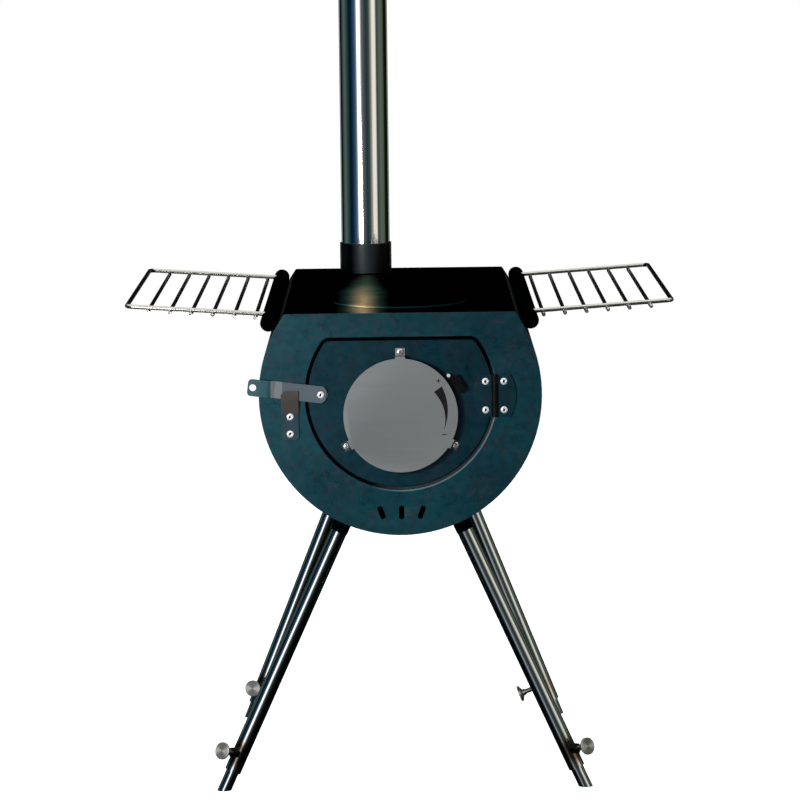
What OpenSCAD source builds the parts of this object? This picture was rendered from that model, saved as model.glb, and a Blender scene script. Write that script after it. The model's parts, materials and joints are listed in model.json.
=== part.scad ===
// Tent wood stove: a lying drum with a flat cooking top, a round door with an air
// damper, two folding side racks, four telescopic legs and the first flue section.
// Millimetres. +X is right and +Z up, seen from the front; +Y runs to the back plate.
// The origin lies on the floor under the middle of the stove's outline.

/* [Drum] */
// Outer radius of the drum
drum_r = 160; // [150:1:175]
// Height of the flat cooking top above the drum's axis
top_h = 93.3; // [90:0.1:96]
// Length of the drum from the front face to the back face
body_l = 560; // [540:5:640]
// Sheet thickness of the rolled drum wall
wall_t = 1.5; // [1:0.1:2.5]
// Thickness of the cooking top
top_t = 3; // [2:0.5:4]
// Thickness of the front plate
face_t = 3; // [2.5:0.5:5]
// Thickness of the back plate
back_t = 2; // [1.5:0.5:4]
// Corner radius where the flat top meets the round outline of the end plates
plate_corner_r = 3; // [1:0.5:6]

/* [Vent slots] */
// Number of air slots under the door
vent_count = 3; // [1:2:5]
// Width of a slot
vent_w = 6; // [4:0.5:8]
// Length of a slot from end to end
vent_l = 15.6; // [10:0.2:18]
// Distance from slot to slot
vent_pitch = 22.8; // [18:0.2:28]
// Depth of the slots' centres below the drum's axis
vent_drop = 134; // [132:0.5:137]
// Lean of the outer slots from the vertical, in degrees
vent_lean = 20; // [0:1:35]

/* [Door] */
// Radius of the round door
door_r = 104; // [101:0.5:104]
// Height of the door's flat top edge above the drum's axis
door_top = 62.3; // [61:0.1:63]
// Corner radius of the door outline
door_corner_r = 8; // [5:0.5:10]
// Gap between the door and its opening
door_gap = 4; // [2:0.5:4.5]
// Thickness of the stop ring behind the opening
stop_t = 2; // [1.5:0.5:3]
// Width of the stop ring that laps behind the door
stop_lap = 6; // [4:0.5:7]
// Width of the stop ring that is welded behind the front plate
stop_weld = 5; // [4:0.5:6]

/* [Hinge] */
// Distance of the hinge axis from the middle of the stove
hinge_x = 106.5; // [106:0.1:107]
// Height of the hinge's middle from the drum's axis
hinge_z = -1.4; // [-8:0.2:8]
// Height of the hinge leaves
hinge_h = 48.4; // [44:0.2:56]
// Width of a hinge leaf
leaf_w = 20.5; // [18:0.5:22]
// Thickness of a hinge leaf
leaf_t = 2; // [1.5:0.1:2.4]
// Radius of the curved outer edge of a leaf
leaf_edge_r = 51; // [40:1:80]
// Distance from the hinge axis to the near edge of a leaf
leaf_inset = 3.4; // [3.4:0.1:3.8]
// Radius of the hinge barrel
barrel_r = 3; // [2.5:0.1:3]
// Radius of the hinge pin
pin_r = 1.5; // [1:0.1:1.8]
// Distance between the two rivets of a leaf
leaf_rivet_pitch = 32.4; // [28:0.2:34]
// Distance from the hinge axis to the rivets of a leaf
leaf_rivet_x = 10.4; // [9.5:0.1:12]

/* [Rivets] */
// Radius of a rivet head
rivet_head_r = 4; // [3.5:0.1:4.5]
// Height of a rivet head
rivet_head_h = 1.5; // [1:0.1:2]
// Radius of a rivet shank
rivet_r = 2; // [1.6:0.1:2.4]
// Height of the swelled tail behind the plate
rivet_tail_h = 2; // [1:0.1:3]

/* [Latch] */
// Distance of the latch pivot from the middle of the stove
latch_x = 90; // [86:0.5:92]
// Height of the latch pivot from the drum's axis
latch_z = 1.9; // [-8:0.2:8]
// Width of the latch lever
lever_w = 19.2; // [14:0.2:20]
// Thickness of the latch lever
lever_t = 2; // [1.5:0.1:3]
// Reach of the lever beyond its pivot
lever_l = 82.7; // [78:0.1:100]
// Tilt of the closed lever above the level, in degrees
lever_tilt = 7.2; // [3:0.1:9]
// Outward step of the finger tab
lever_step = 6; // [3:0.5:9]
// Radius of the hole in the finger tab
tab_hole_r = 3.9; // [2:0.1:5]
// Thickness of the washer under the lever
washer_t = 1.5; // [1:0.1:2.5]
// Distance of the keeper from the middle of the stove
keeper_x = 125; // [123:0.5:127]
// Width of the keeper
keeper_w = 20; // [16:0.5:22]
// Height of the keeper's upper edge from the drum's axis
keeper_top = 6.4; // [2:0.2:8]
// Height of the keeper's lower bend from the drum's axis
keeper_bend = -18; // [-20:0.2:-16]
// Height of the keeper's lower edge from the drum's axis
keeper_foot = -49.6; // [-58:0.2:-48]
// Thickness of the keeper
keeper_t = 2; // [1.5:0.1:3]

/* [Damper] */
// Radius of the round damper cover
cover_r = 64.6; // [62:0.2:66]
// Depth of the cover's centre below the drum's axis
cover_drop = 21.8; // [20:0.2:24]
// Free gap between the door and the cover
cover_gap = 10; // [8:0.5:14]
// Sheet thickness of the cover
cover_t = 1.5; // [1:0.1:2]
// Width of the cover's three tabs
cover_tab_w = 11; // [9:0.5:13]
// Length of a tab's foot beyond the cover's edge
cover_foot_l = 11; // [11:0.5:12]
// Radius of the damper disc
rotor_r = 52; // [48:0.5:56]
// Thickness of the damper disc
rotor_t = 1.5; // [1:0.1:2.5]
// Radius of the four air holes
air_hole_r = 10; // [8:0.2:11]
// Radius of the circle on which the air holes lie
air_circle_r = 34; // [32:0.5:37]
// Radius of the damper's pivot
damper_pivot_r = 4; // [3:0.1:6]
// Width of the damper's arm
arm_w = 12; // [8:0.5:14]
// Direction of the arm above the level, open, in degrees
arm_angle = 28; // [26:0.5:29]
// Length of the grip along its arm
grip_l = 10; // [8:0.5:11]
// Width of the grip across its arm
grip_w = 18.5; // [14:0.5:19]
// Height of the grip
grip_h = 7; // [5:0.5:10]
// Direction of the stop pin above the level, in degrees
stop_pin_angle = 39; // [38.8:0.1:42]
// Radius of the stop pin
stop_pin_r = 2; // [1.5:0.1:2.2]

/* [Heat shield] */
// Radius of the heat shield behind the door
shield_r = 92; // [90:0.5:93]
// Height of the shield's flat top edge above the drum's axis
shield_top = 54.3; // [54:0.1:54.6]
// Sheet thickness of the shield
shield_t = 1.5; // [1:0.1:2.5]
// Gap between the door and the shield
shield_gap = 12; // [8:0.5:16]
// Radius of the shield's spacers
spacer_r = 4.8; // [4.2:0.1:4.9]
// Radius of the screws through cover, door and shield
screw_r = 2.5; // [2:0.1:3]
// Radius of the screw heads
screw_head_r = 4; // [3.5:0.1:4.5]
// Height of the screw heads
screw_head_h = 2.6; // [2:0.1:4]
// Width across the flats of the shield's nuts
small_nut_af = 8; // [7:0.5:9]
// Height of the shield's nuts
small_nut_h = 4; // [3:0.5:5]

/* [Cooking top] */
// Radius of the hob lid
lid_r = 76; // [72:0.5:82]
// Thickness of the hob lid
lid_t = 2.2; // [1.5:0.1:3]
// Width of the lid's rim that rests on the top
lid_lap = 10; // [6:0.5:14]
// Height of the ring under the lid
lid_ring_h = 6; // [4:0.5:10]
// Wall of the ring under the lid
lid_ring_t = 2; // [1:0.1:3]
// Distance of the lid's centre from the front face
lid_y = 125; // [100:1:160]

/* [Flue] */
// Distance of the flue's axis to the left of the middle
flue_x = 41; // [0:1:60]
// Distance of the flue's axis from the back face
flue_back = 63; // [60:1:120]
// Outer radius of the stove pipe
pipe_r = 30; // [28:0.5:33]
// Wall of the stove pipe
pipe_t = 0.8; // [0.6:0.1:1.2]
// Length of the pipe section
pipe_l = 445; // [400:5:600]
// Length of the widened upper end that takes the next section
bell_l = 45; // [30:1:60]
// Height of the flue collar
collar_h = 38.5; // [30:0.5:50]
// Wall of the flue collar
collar_t = 1.5; // [1:0.1:3]
// Width of the ledge on which the pipe stands
flue_ledge = 2; // [1.5:0.1:4]

/* [Side racks] */
// Outer radius of the side tubes
tube_r = 9.5; // [9:0.1:12]
// Wall of the side tubes
tube_t = 1; // [0.8:0.1:1.2]
// Height of the side tubes' axes above the drum's axis
tube_h = 83.3; // [70:0.1:85]
// Length of the plugs in the side tubes
plug_l = 8; // [5:0.5:12]
// Depth of the plugs inside the tubes' ends
plug_inset = 1; // [0.5:0.1:3]
// Radius of the pivot rod inside a side tube
rod_r = 3; // [2:0.1:3.2]
// Radius of a rack's rails
rail_r = 2.5; // [2:0.1:3]
// Radius of a rack's cross wires
wire_r = 2.2; // [1.5:0.1:2.5]
// Number of cross wires
wire_count = 6; // [4:1:8]
// Distance from wire to wire
wire_pitch = 24.5; // [20:0.5:28]
// Distance of the first wire from the side tube's axis
wire_start = 16.5; // [15:0.5:22]
// Overhang of the wires beyond the rails
wire_over = 4.5; // [2:0.5:8]
// Upward slope of a rack, in degrees
rack_slope = 3.8; // [0:0.1:8]
// Bend radius of a rack's outer corners
rack_bend_r = 8; // [6:0.5:16]
// Distance of the front rails from the front face
rack_front = 50; // [30:1:80]
// Distance of the rear rails from the back face
rack_rear = 64; // [55:1:100]
// Fold of the racks from rest to folded, in degrees
rack_fold = 100; // [60:1:100]

/* [Grate] */
// Height of the grate's upper face above the drum's lowest line
grate_rise = 53; // [50:0.5:56]
// Thickness of the grate
grate_t = 3; // [2:0.5:4]
// Distance of the grate's long edges from the drum's outermost line, seen from the front
grate_aside = 55; // [52:0.5:58]
// Distance of the grate's end from the back face
grate_rear = 30; // [25:1:40]
// Distance of the grate from the front face
grate_y = 30; // [25:1:40]
// Number of slot rows in the grate
grate_rows = 12; // [6:1:16]
// Width of a grate slot
grate_slot_w = 12; // [6:0.5:14]
// Thickness of the grate's rails
grate_rail_t = 3; // [2:0.5:4]
// Lap of the grate on its rails
grate_lap = 10; // [6:0.5:14]

/* [Legs] */
// Lean of the front legs from the vertical, in degrees
leg_angle = 24.4; // [20:0.1:28]
// Lean of the rear legs from the vertical, in degrees
rear_leg_angle = 21.8; // [20:0.1:28]
// Height above the drum's axis where the axes of the rear legs meet
rear_leg_rise = 21; // [0:1:24]
// Distance of the front legs from the front face
leg_front = 25; // [20:1:60]
// Distance of the rear legs from the back face
leg_rear = 117; // [60:1:180]
// Outer radius of a leg tube
leg_r = 9.5; // [9:0.1:12]
// Wall of a leg tube
leg_t = 1.7; // [1.2:0.1:1.8]
// Length of a leg tube
leg_l = 304; // [290:1:306]
// Wall of a slider tube
slider_t = 1.2; // [1:0.1:2]
// Length of a front slider that shows below its leg tube
slider_out = 24.8; // [18:0.2:42]
// Room above a front slider's upper end, up to its stub
slider_room = 26.8; // [24:0.2:60]
// Radius of a leg stub's boss
boss_r = 10; // [9.6:0.1:13]
// Height of a leg stub's boss
boss_h = 14; // [10:0.5:16]
// Length of a leg stub's spigot
spigot_l = 28; // [20:1:32]

/* [Leg screws] */
// Radius of a leg screw's thread
thread_r = 3; // [2.5:0.1:4]
// Width across the flats of a leg nut
nut_af = 11; // [10:0.5:13]
// Height of a leg nut above its tube
nut_h = 6; // [5:0.5:8]
// Distance of a leg screw from the end of its leg tube
screw_up = 22; // [18:0.5:40]
// Radius of a knob
knob_r = 10; // [8:0.5:12]
// Thickness of a knob's rim
knob_rim_t = 3; // [2.5:0.5:6]
// Length of the cone behind a knob's rim
knob_cone_l = 3; // [2:0.5:6]
// Radius of a knob's neck
neck_r = 4; // [3.5:0.1:5.5]
// Distance of a knob's face from the leg's axis
knob_reach = 35; // [34:0.5:45]
// Turn of the front left screw outward from the front, in degrees
azimuth_front_left = 40; // [0:1:60]
// Turn of the front right screw outward from the front, in degrees
azimuth_front_right = 42; // [0:1:60]
// Turn of the rear left screw outward from the front, in degrees
azimuth_rear_left = 21; // [-30:1:60]
// Turn of the rear right screw outward from the front, in degrees
azimuth_rear_right = -90; // [-90:1:60]

/* [Clearances] */
// Clearance between pieces that move past each other
seat_gap = 0.3; // [0.2:0.05:0.4]
// Radial clearance of a pin or shank in its hole
run_gap = 0.05; // [0.03:0.01:0.1]
// Gap left for the weld between a curved wall and what is welded on it
weld_gap = 0.05; // [0.02:0.01:0.1]
// Radial clearance of the pipe in its collar
pipe_gap = 0.5; // [0.3:0.1:1]

/* [Hidden] */
$fn = 72;

// Overrun of every cut past the face that it opens
cut = 1;

// Chords along a rounded corner, and the run of the first chord past the outline it cuts
corner_steps = 8;
lead_shares = 4;

// Colours, as the stove is painted
teal = [0.13, 0.21, 0.24];
black = [0.05, 0.05, 0.06];
steel = [0.70, 0.70, 0.70];
grey = [0.50, 0.51, 0.51];
iron = [0.20, 0.20, 0.21];

// Left and right, seen from the front
left = -1;
right = 1;

// Drum
shell_l = body_l - face_t - back_t;
inner_r = drum_r - wall_t;
top_under = top_h - top_t;
cover_reach = cover_gap + cover_t;
front_y = -(body_l - cover_reach) / 2;
foot_reach = drum_r + boss_h + leg_l + slider_out;
axis_z = foot_reach * cos(leg_angle);
flue_y = body_l - flue_back;
rack_back = body_l - rack_rear;
leg_back = body_l - leg_rear;

// Door and hinge
door_t = face_t - seat_gap;
opening_r = door_r + door_gap;
opening_top = door_top + door_gap;
opening_corner_r = door_corner_r + door_gap;
axis_y = -(barrel_r + seat_gap);
knuckle_l = (hinge_h - 2 * seat_gap) / 3;
knuckle_pitch = knuckle_l + seat_gap;

// Rivets
tail_shares = 1.6;
eye_share = 0.5;
crown_share = 0.62;
edge_share = 0.35;
rivet_tail_r = rivet_r * tail_shares;
rivet_hole_r = rivet_r + run_gap;
rivet_eye_r = rivet_r * eye_share;

// Latch: the lever lies on its washer, the keeper clears the lever by the seat gap
lever_back = -washer_t;
lever_front = lever_back - lever_t;
heel_share = 0.33;
lever_corner_share = 0.22;
bend_start_share = 0.63;
bend_end_share = 0.73;
tab_hole_share = 0.93;
washer_shares = 2;
lever_heel = lever_w * heel_share;
lever_clip = lever_w * lever_corner_share;
tab_corner_r = lever_w * lever_corner_share;
washer_r = rivet_head_r * washer_shares;
pocket_y = lever_front - seat_gap;
keeper_near_x = keeper_x - keeper_w / 2;
lever_low_z = latch_z + (keeper_near_x - latch_x) * tan(lever_tilt) - lever_w / 2 / cos(lever_tilt);
keeper_clip_share = 0.2;
keeper_corner_share = 0.22;
keeper_rivet_share = 0.36;
keeper_clip = keeper_w * keeper_clip_share;
keeper_corner_r = keeper_w * keeper_corner_share;
keeper_rivets_z = [keeper_bend - rivet_head_r - keeper_t / 2, keeper_foot + keeper_w * keeper_rivet_share];

// Damper
rotor_back = -seat_gap;
rotor_front = rotor_back - rotor_t;
cover_tab_angles = [90, 210, 330];
tab_leg_r = cover_r + cover_t / 2;
cover_screw_r = tab_leg_r + cover_t + seat_gap + screw_head_r;
arm_end_r = cover_r + cover_foot_l + cover_t;
grip_r = arm_end_r - grip_l + cover_t;
stop_pin_circle_r = cover_r + cover_foot_l / 2;
air_angles = [45, 135, 225, 315];
pivot_head_shares = 1.75;
pivot_head_r = damper_pivot_r * pivot_head_shares;
pivot_head_h = rotor_t;
tab_root_r = cover_r - cover_tab_w / 2;
grip_ribs = 4;

// Heat shield
shield_y = door_t + shield_gap;
screw_hole_r = screw_r + run_gap;
screw_end = shield_y + shield_t + small_nut_h + screw_r / 2;

// Cooking top and flue
lid_hole_r = lid_r - lid_lap;
lid_ring_r = lid_hole_r - seat_gap;
collar_in_r = pipe_r + pipe_gap;
collar_r = collar_in_r + collar_t;
pipe_in_r = pipe_r - pipe_t;
bell_in_r = pipe_r + pipe_gap;
bell_r = bell_in_r + pipe_t;
cone_shares = 3;
bell_cone_l = (bell_r - pipe_r) * cone_shares;
flue_hole_r = pipe_r - flue_ledge;

// Side racks: the tube touches the drum, the rails lie on the rod and leave through slots
tube_x = sqrt(pow(drum_r + tube_r + weld_gap, 2) - pow(tube_h, 2));
tube_in_r = tube_r - tube_t;
sink_share = 0.1;
rod_seat_share = 0.25;
rail_sink = rail_r * sink_share;
rail_lift = rod_r + rail_r - rail_sink;
rail_start = sqrt(pow(tube_in_r - seat_gap, 2) - pow(rail_lift + rail_r, 2));
slot_w = 2 * (rail_r + seat_gap);
slot_low = rack_slope + asin((rail_lift - rail_r - seat_gap) / tube_r);
slot_high = rack_slope + rack_fold + asin((rail_lift + rail_r + seat_gap) / (tube_in_r + seat_gap));
rack_w = wire_start + wire_count * wire_pitch;
rod_inset = plug_inset + plug_l * rod_seat_share;
wire_drop = rail_lift - rail_r - wire_r + rail_sink;

// Grate
grate_l = body_l - grate_y - grate_rear;
grate_half_w = drum_r - grate_aside;
grate_drop = drum_r - grate_rise;
grate_low = grate_drop + grate_t;
grate_slot_pitch = grate_l / (grate_rows + 1 / 2);
grate_slot_share = 0.40;
grate_web_share = 0.06;
grate_shift_share = 0.25;
grate_slot_x = grate_half_w * (grate_slot_share + grate_web_share);

// Legs: distance from the front face, lean, height of the meeting point above the drum's axis
front_leg = [leg_front, leg_angle, 0];
rear_leg = [leg_back, rear_leg_angle, rear_leg_rise];
leg_in_r = leg_r - leg_t;
slider_r = leg_in_r - seat_gap;
slider_l = leg_l + slider_out - spigot_l - slider_room;
spigot_r = leg_in_r - run_gap;
knob_edge_share = 0.25;
nut_r = nut_af / 2 / cos(30);
hex_sides = 6;

// Puts a piece from the stove's own axes on the floor: Y from the front face, Z from the drum's axis
module on_stove() {
    translate([0, front_y, axis_z]) children();
}

// Flat plate from y to y + t, its outline drawn as seen from the front
module sheet(y, t) {
    translate([0, y + t, 0]) rotate([90, 0, 0]) linear_extrude(t) children();
}

// Mirrors a right-hand piece to the left
module handed(side) {
    if (side == left) mirror([1, 0, 0]) children();
    else children();
}

// Points along a rounded corner, from one direction to another about its centre
function corner_points(x, z, r, from, to) = [
    for (i = [0 : corner_steps])
        let (a = from + (to - from) * i / corner_steps) [x + r * cos(a), z + r * sin(a)]
];

// Round outline with a flat top; each corner's first chord runs on past the circle that it cuts
module d_outline(r, top, corner) {
    fillet_z = top - corner;
    fillet_x = sqrt(pow(r - corner, 2) - pow(fillet_z, 2));
    bend = corner_points(fillet_x, fillet_z, corner, atan2(fillet_z, fillet_x), 90);
    lead = bend[0] + (bend[0] - bend[1]) * lead_shares;
    half = concat([[2 * r, lead[1]], lead], [for (i = [1 : corner_steps]) bend[i]]);
    last = len(half) - 1;
    difference() {
        circle(r);
        polygon(concat([[-2 * r, 2 * r], [2 * r, 2 * r]], half,
                       [for (i = [0 : last]) [-half[last - i][0], half[last - i][1]]]));
    }
}

// Slot outline with round ends, upright
module slot_outline(w, l) {
    square([w, l - w], center = true);
    for (s = [left, right]) translate([0, s * (l - w) / 2]) circle(w / 2);
}

// Tube along Z
module tube(r, t, l) {
    difference() {
        cylinder(r = r, h = l);
        translate([0, 0, -cut]) cylinder(r = r - t, h = l + 2 * cut);
    }
}

// Round bar along Y
module bar_y(r, y0, y1) {
    translate([0, y0, 0]) rotate([-90, 0, 0]) cylinder(r = r, h = y1 - y0);
}

// Hole through a plate along Y, at a place seen from the front
module hole(x, z, r, y0, y1) {
    translate([x, 0, z]) bar_y(r, y0 - cut, y1 + cut);
}

// Blind rivet with an eye in its crown; the tail swells behind the plate where tail_h is more than zero
module rivet(x, z, face, back, tail_h) {
    shank = back - face;
    crown_r = rivet_head_r * crown_share;
    edge_h = rivet_head_h * edge_share;
    end = tail_h > 0
        ? [[rivet_r, -shank], [rivet_tail_r, -shank], [rivet_tail_r, -shank - tail_h], [0, -shank - tail_h]]
        : [[rivet_r, -shank], [0, -shank]];
    translate([x, face, z]) rotate([90, 0, 0]) rotate_extrude()
        polygon(concat([[rivet_eye_r, 0], [rivet_eye_r, rivet_head_h], [crown_r, rivet_head_h],
                        [rivet_head_r, edge_h], [rivet_head_r, 0], [rivet_r, 0]], end, [[0, 0]]));
}

// Rolled drum wall, open at the flat top
module drum_shell() {
    color(black) on_stove() sheet(face_t, shell_l) difference() {
        circle(drum_r);
        circle(inner_r);
        translate([-drum_r, top_under]) square([2 * drum_r, drum_r]);
    }
}

// Flat cooking top with the hob hole and the flue hole
module cooktop() {
    color(black) on_stove() difference() {
        sheet(face_t, shell_l) intersection() {
            circle(drum_r);
            translate([-drum_r, top_under]) square([2 * drum_r, top_t]);
        }
        translate([0, lid_y, top_under - cut]) cylinder(r = lid_hole_r, h = top_t + 2 * cut);
        translate([-flue_x, flue_y, top_under - cut]) cylinder(r = flue_hole_r, h = top_t + 2 * cut);
    }
}

// Front plate with the door opening, the air slots and the rivet holes
module front_plate() {
    color(teal) on_stove() difference() {
        sheet(0, face_t) difference() {
            d_outline(drum_r, top_h, plate_corner_r);
            d_outline(opening_r, opening_top, opening_corner_r);
            for (i = [0 : vent_count - 1]) {
                place = i - (vent_count - 1) / 2;
                translate([place * vent_pitch, -vent_drop]) rotate(-sign(place) * vent_lean)
                    slot_outline(vent_w, vent_l);
            }
        }
        for (z = keeper_rivets_z) hole(-keeper_x, z, rivet_hole_r, 0, face_t);
        for (s = [left, right])
            hole(hinge_x + leaf_rivet_x, hinge_z + s * leaf_rivet_pitch / 2, rivet_hole_r, 0, face_t);
    }
}

// Closed back plate
module back_plate() {
    color(black) on_stove() sheet(body_l - back_t, back_t) d_outline(drum_r, top_h, plate_corner_r);
}

// Ring welded behind the opening; the closed door lies against it
module door_stop_ring() {
    color(black) on_stove() sheet(face_t, stop_t) difference() {
        d_outline(opening_r + stop_weld, opening_top + stop_weld, opening_corner_r + stop_weld);
        d_outline(door_r - stop_lap, door_top - stop_lap, door_corner_r);
    }
}

// Collar that takes the stove pipe
module flue_collar() {
    color(black) on_stove() translate([-flue_x, flue_y, top_h]) tube(collar_r, collar_t, collar_h);
}

// Slotted plate that carries the fire
module fire_grate() {
    slot_l = 2 * grate_half_w * grate_slot_share;
    color(iron) on_stove() translate([0, grate_y, -grate_low]) linear_extrude(grate_t) difference() {
        translate([-grate_half_w, 0]) square([2 * grate_half_w, grate_l]);
        for (s = [left, right], i = [1 : grate_rows])
            translate([s * grate_slot_x, (i - grate_shift_share) * grate_slot_pitch])
                square([slot_l, grate_slot_w], center = true);
    }
}

// Strip welded inside the drum under the grate's edge
module grate_rail(side) {
    color(iron) on_stove() handed(side) sheet(grate_y, grate_l) intersection() {
        circle(inner_r - weld_gap);
        translate([grate_half_w - grate_lap, -grate_low - grate_rail_t]) square([drum_r, grate_rail_t]);
    }
}

// Side tube welded along the drum, slotted for the two rails of its rack
module side_tube(side) {
    color(black) on_stove() handed(side) translate([tube_x, 0, tube_h]) difference() {
        rotate([-90, 0, 0]) tube(tube_r, tube_t, body_l);
        for (y = [rack_front, rack_back])
            translate([0, y - slot_w / 2, 0]) rotate([-90, 0, 0])
                rotate([0, 0, -slot_high]) rotate_extrude(angle = slot_high - slot_low)
                    translate([tube_in_r - cut, 0]) square([tube_t + 2 * cut, slot_w]);
    }
}

// Two bored plugs that close a side tube and carry the rod
module tube_plugs(side) {
    color(iron) on_stove() handed(side) translate([tube_x, 0, tube_h]) {
        difference() {
            bar_y(tube_in_r - run_gap, plug_inset, plug_inset + plug_l);
            bar_y(rod_r + run_gap, rod_inset - seat_gap, plug_inset + plug_l + cut);
        }
        difference() {
            bar_y(tube_in_r - run_gap, body_l - plug_inset - plug_l, body_l - plug_inset);
            bar_y(rod_r + run_gap, body_l - plug_inset - plug_l - cut, body_l - rod_inset + seat_gap);
        }
    }
}

// Rod on which a rack folds, welded under its rails
module rack_rod(side) {
    color(steel) on_stove() handed(side) translate([tube_x, 0, tube_h])
        bar_y(rod_r, rod_inset, body_l - rod_inset);
}

// Places a piece in the plane of a rack: X out along the rack, Y back, Z up from the tube's axis
module on_rack(side) {
    on_stove() handed(side) translate([tube_x, 0, tube_h]) rotate([0, -rack_slope, 0]) children();
}

// Bent wire frame with its cross wires underneath
module rack(side) {
    color(steel) on_rack(side) difference() {
        union() {
            for (y = [rack_front, rack_back]) translate([rack_w - rack_bend_r, y, rail_lift])
                rotate([0, -90, 0]) cylinder(r = rail_r, h = rack_w - rack_bend_r + rail_start);
            translate([rack_w, 0, rail_lift]) bar_y(rail_r, rack_front + rack_bend_r, rack_back - rack_bend_r);
            translate([rack_w - rack_bend_r, rack_front + rack_bend_r, rail_lift]) rotate([0, 0, -90])
                rotate_extrude(angle = 90) translate([rack_bend_r, 0]) circle(rail_r);
            translate([rack_w - rack_bend_r, rack_back - rack_bend_r, rail_lift])
                rotate_extrude(angle = 90) translate([rack_bend_r, 0]) circle(rail_r);
            for (i = [0 : wire_count - 1]) translate([wire_start + i * wire_pitch, 0, wire_drop])
                bar_y(wire_r, rack_front - rail_r - wire_over, rack_back + rail_r + wire_over);
        }
        bar_y(rod_r + run_gap, 0, body_l);
    }
}

// Hook plate: flat foot on the front plate, bent out in front of the lever
module latch_keeper() {
    mid = -keeper_x;
    half = keeper_w / 2;
    flat = half - keeper_corner_r;
    corner_z = keeper_foot + keeper_corner_r;
    foot = [[0, keeper_foot], [0, keeper_bend], [pocket_y, lever_low_z], [pocket_y, keeper_top],
            [pocket_y - keeper_t, keeper_top], [pocket_y - keeper_t, lever_low_z - keeper_t / 2],
            [-keeper_t, keeper_bend - keeper_t / 2], [-keeper_t, keeper_foot]];
    color(grey) on_stove() difference() {
        intersection() {
            translate([mid - half, 0, 0]) rotate([90, 0, 90]) linear_extrude(keeper_w) polygon(foot);
            sheet(pocket_y - keeper_t - cut, keeper_t + cut - pocket_y + cut)
                polygon(concat([[mid - half, keeper_top - keeper_clip], [mid - half + keeper_clip, keeper_top],
                                [mid + half, keeper_top]],
                               corner_points(mid + flat, corner_z, keeper_corner_r, 0, -90),
                               corner_points(mid - flat, corner_z, keeper_corner_r, -90, -180)));
        }
        for (z = keeper_rivets_z) hole(mid, z, rivet_hole_r, -keeper_t, 0);
    }
}

// Rivets through the keeper's foot and the front plate
module keeper_rivets() {
    color(steel) on_stove() for (z = keeper_rivets_z) rivet(-keeper_x, z, -keeper_t, face_t, rivet_tail_h);
}

// Hinge leaf on one side of the axis, with its knuckles; s is the side of the axis
module hinge_leaf(s, knuckles) {
    base_z = hinge_z - hinge_h / 2;
    web_l = leaf_inset + leaf_t;
    difference() {
        union() {
            sheet(-leaf_t, leaf_t) intersection() {
                translate([hinge_x + s * (leaf_inset + leaf_w / 2), hinge_z])
                    square([leaf_w, hinge_h], center = true);
                translate([hinge_x + s * (leaf_inset + leaf_w - leaf_edge_r), hinge_z]) circle(leaf_edge_r);
            }
            for (k = knuckles) translate([hinge_x, axis_y, base_z + k * knuckle_pitch]) {
                cylinder(r = barrel_r, h = knuckle_l);
                translate([s == right ? 0 : -web_l, -leaf_t - axis_y, 0])
                    cube([web_l, leaf_t - seat_gap, knuckle_l]);
            }
        }
        translate([hinge_x, axis_y, base_z - cut]) cylinder(r = pin_r + run_gap, h = hinge_h + 2 * cut);
        for (e = [left, right])
            hole(hinge_x + s * leaf_rivet_x, hinge_z + e * leaf_rivet_pitch / 2, rivet_hole_r, -leaf_t, 0);
    }
}

// Leaf on the front plate, with the two outer knuckles
module hinge_frame_leaf() {
    color(teal) on_stove() hinge_leaf(right, [0, 2]);
}

// Leaf on the door, with the middle knuckle
module hinge_door_leaf() {
    color(teal) on_stove() hinge_leaf(left, [1]);
}

// Rivets through the fixed leaf and the front plate
module hinge_frame_rivets() {
    color(steel) on_stove() for (e = [left, right])
        rivet(hinge_x + leaf_rivet_x, hinge_z + e * leaf_rivet_pitch / 2, -leaf_t, face_t, rivet_tail_h);
}

// The door's hinge rivets end flush, because the stop ring lies behind them
module hinge_door_rivets() {
    color(steel) on_stove() for (e = [left, right])
        rivet(hinge_x - leaf_rivet_x, hinge_z + e * leaf_rivet_pitch / 2, -leaf_t, door_t, 0);
}

// Pin through all three knuckles
module hinge_pin() {
    color(steel) on_stove() translate([hinge_x, axis_y, hinge_z - hinge_h / 2])
        cylinder(r = pin_r, h = hinge_h);
}

// Places of the damper cover's three screws, seen from the front
function screw_x(a) = cover_screw_r * cos(a);
function screw_z(a) = cover_screw_r * sin(a) - cover_drop;

// Round door with air holes behind the damper
module door_plate() {
    color(teal) on_stove() difference() {
        sheet(0, door_t) d_outline(door_r, door_top, door_corner_r);
        for (a = air_angles)
            hole(air_circle_r * cos(a), air_circle_r * sin(a) - cover_drop, air_hole_r, 0, door_t);
        for (a = cover_tab_angles) hole(screw_x(a), screw_z(a), screw_hole_r, 0, door_t);
        hole(0, -cover_drop, damper_pivot_r + run_gap, 0, door_t);
        hole(-latch_x, latch_z, rivet_hole_r, 0, door_t);
        hole(stop_pin_circle_r * cos(stop_pin_angle), stop_pin_circle_r * sin(stop_pin_angle) - cover_drop,
             stop_pin_r + run_gap, 0, door_t);
        for (e = [left, right])
            hole(hinge_x - leaf_rivet_x, hinge_z + e * leaf_rivet_pitch / 2, rivet_hole_r, 0, door_t);
    }
}

// Sheet that keeps the fire's heat off the door
module heat_shield() {
    color(iron) on_stove() difference() {
        sheet(shield_y, shield_t) d_outline(shield_r, shield_top, door_corner_r);
        for (a = cover_tab_angles) hole(screw_x(a), screw_z(a), screw_hole_r, shield_y, shield_y + shield_t);
    }
}

// Three tubes that hold the shield off the door
module shield_spacers() {
    color(iron) on_stove() for (a = cover_tab_angles) translate([screw_x(a), door_t, screw_z(a)])
        rotate([-90, 0, 0]) tube(spacer_r, spacer_r - screw_hole_r, shield_gap);
}

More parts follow.
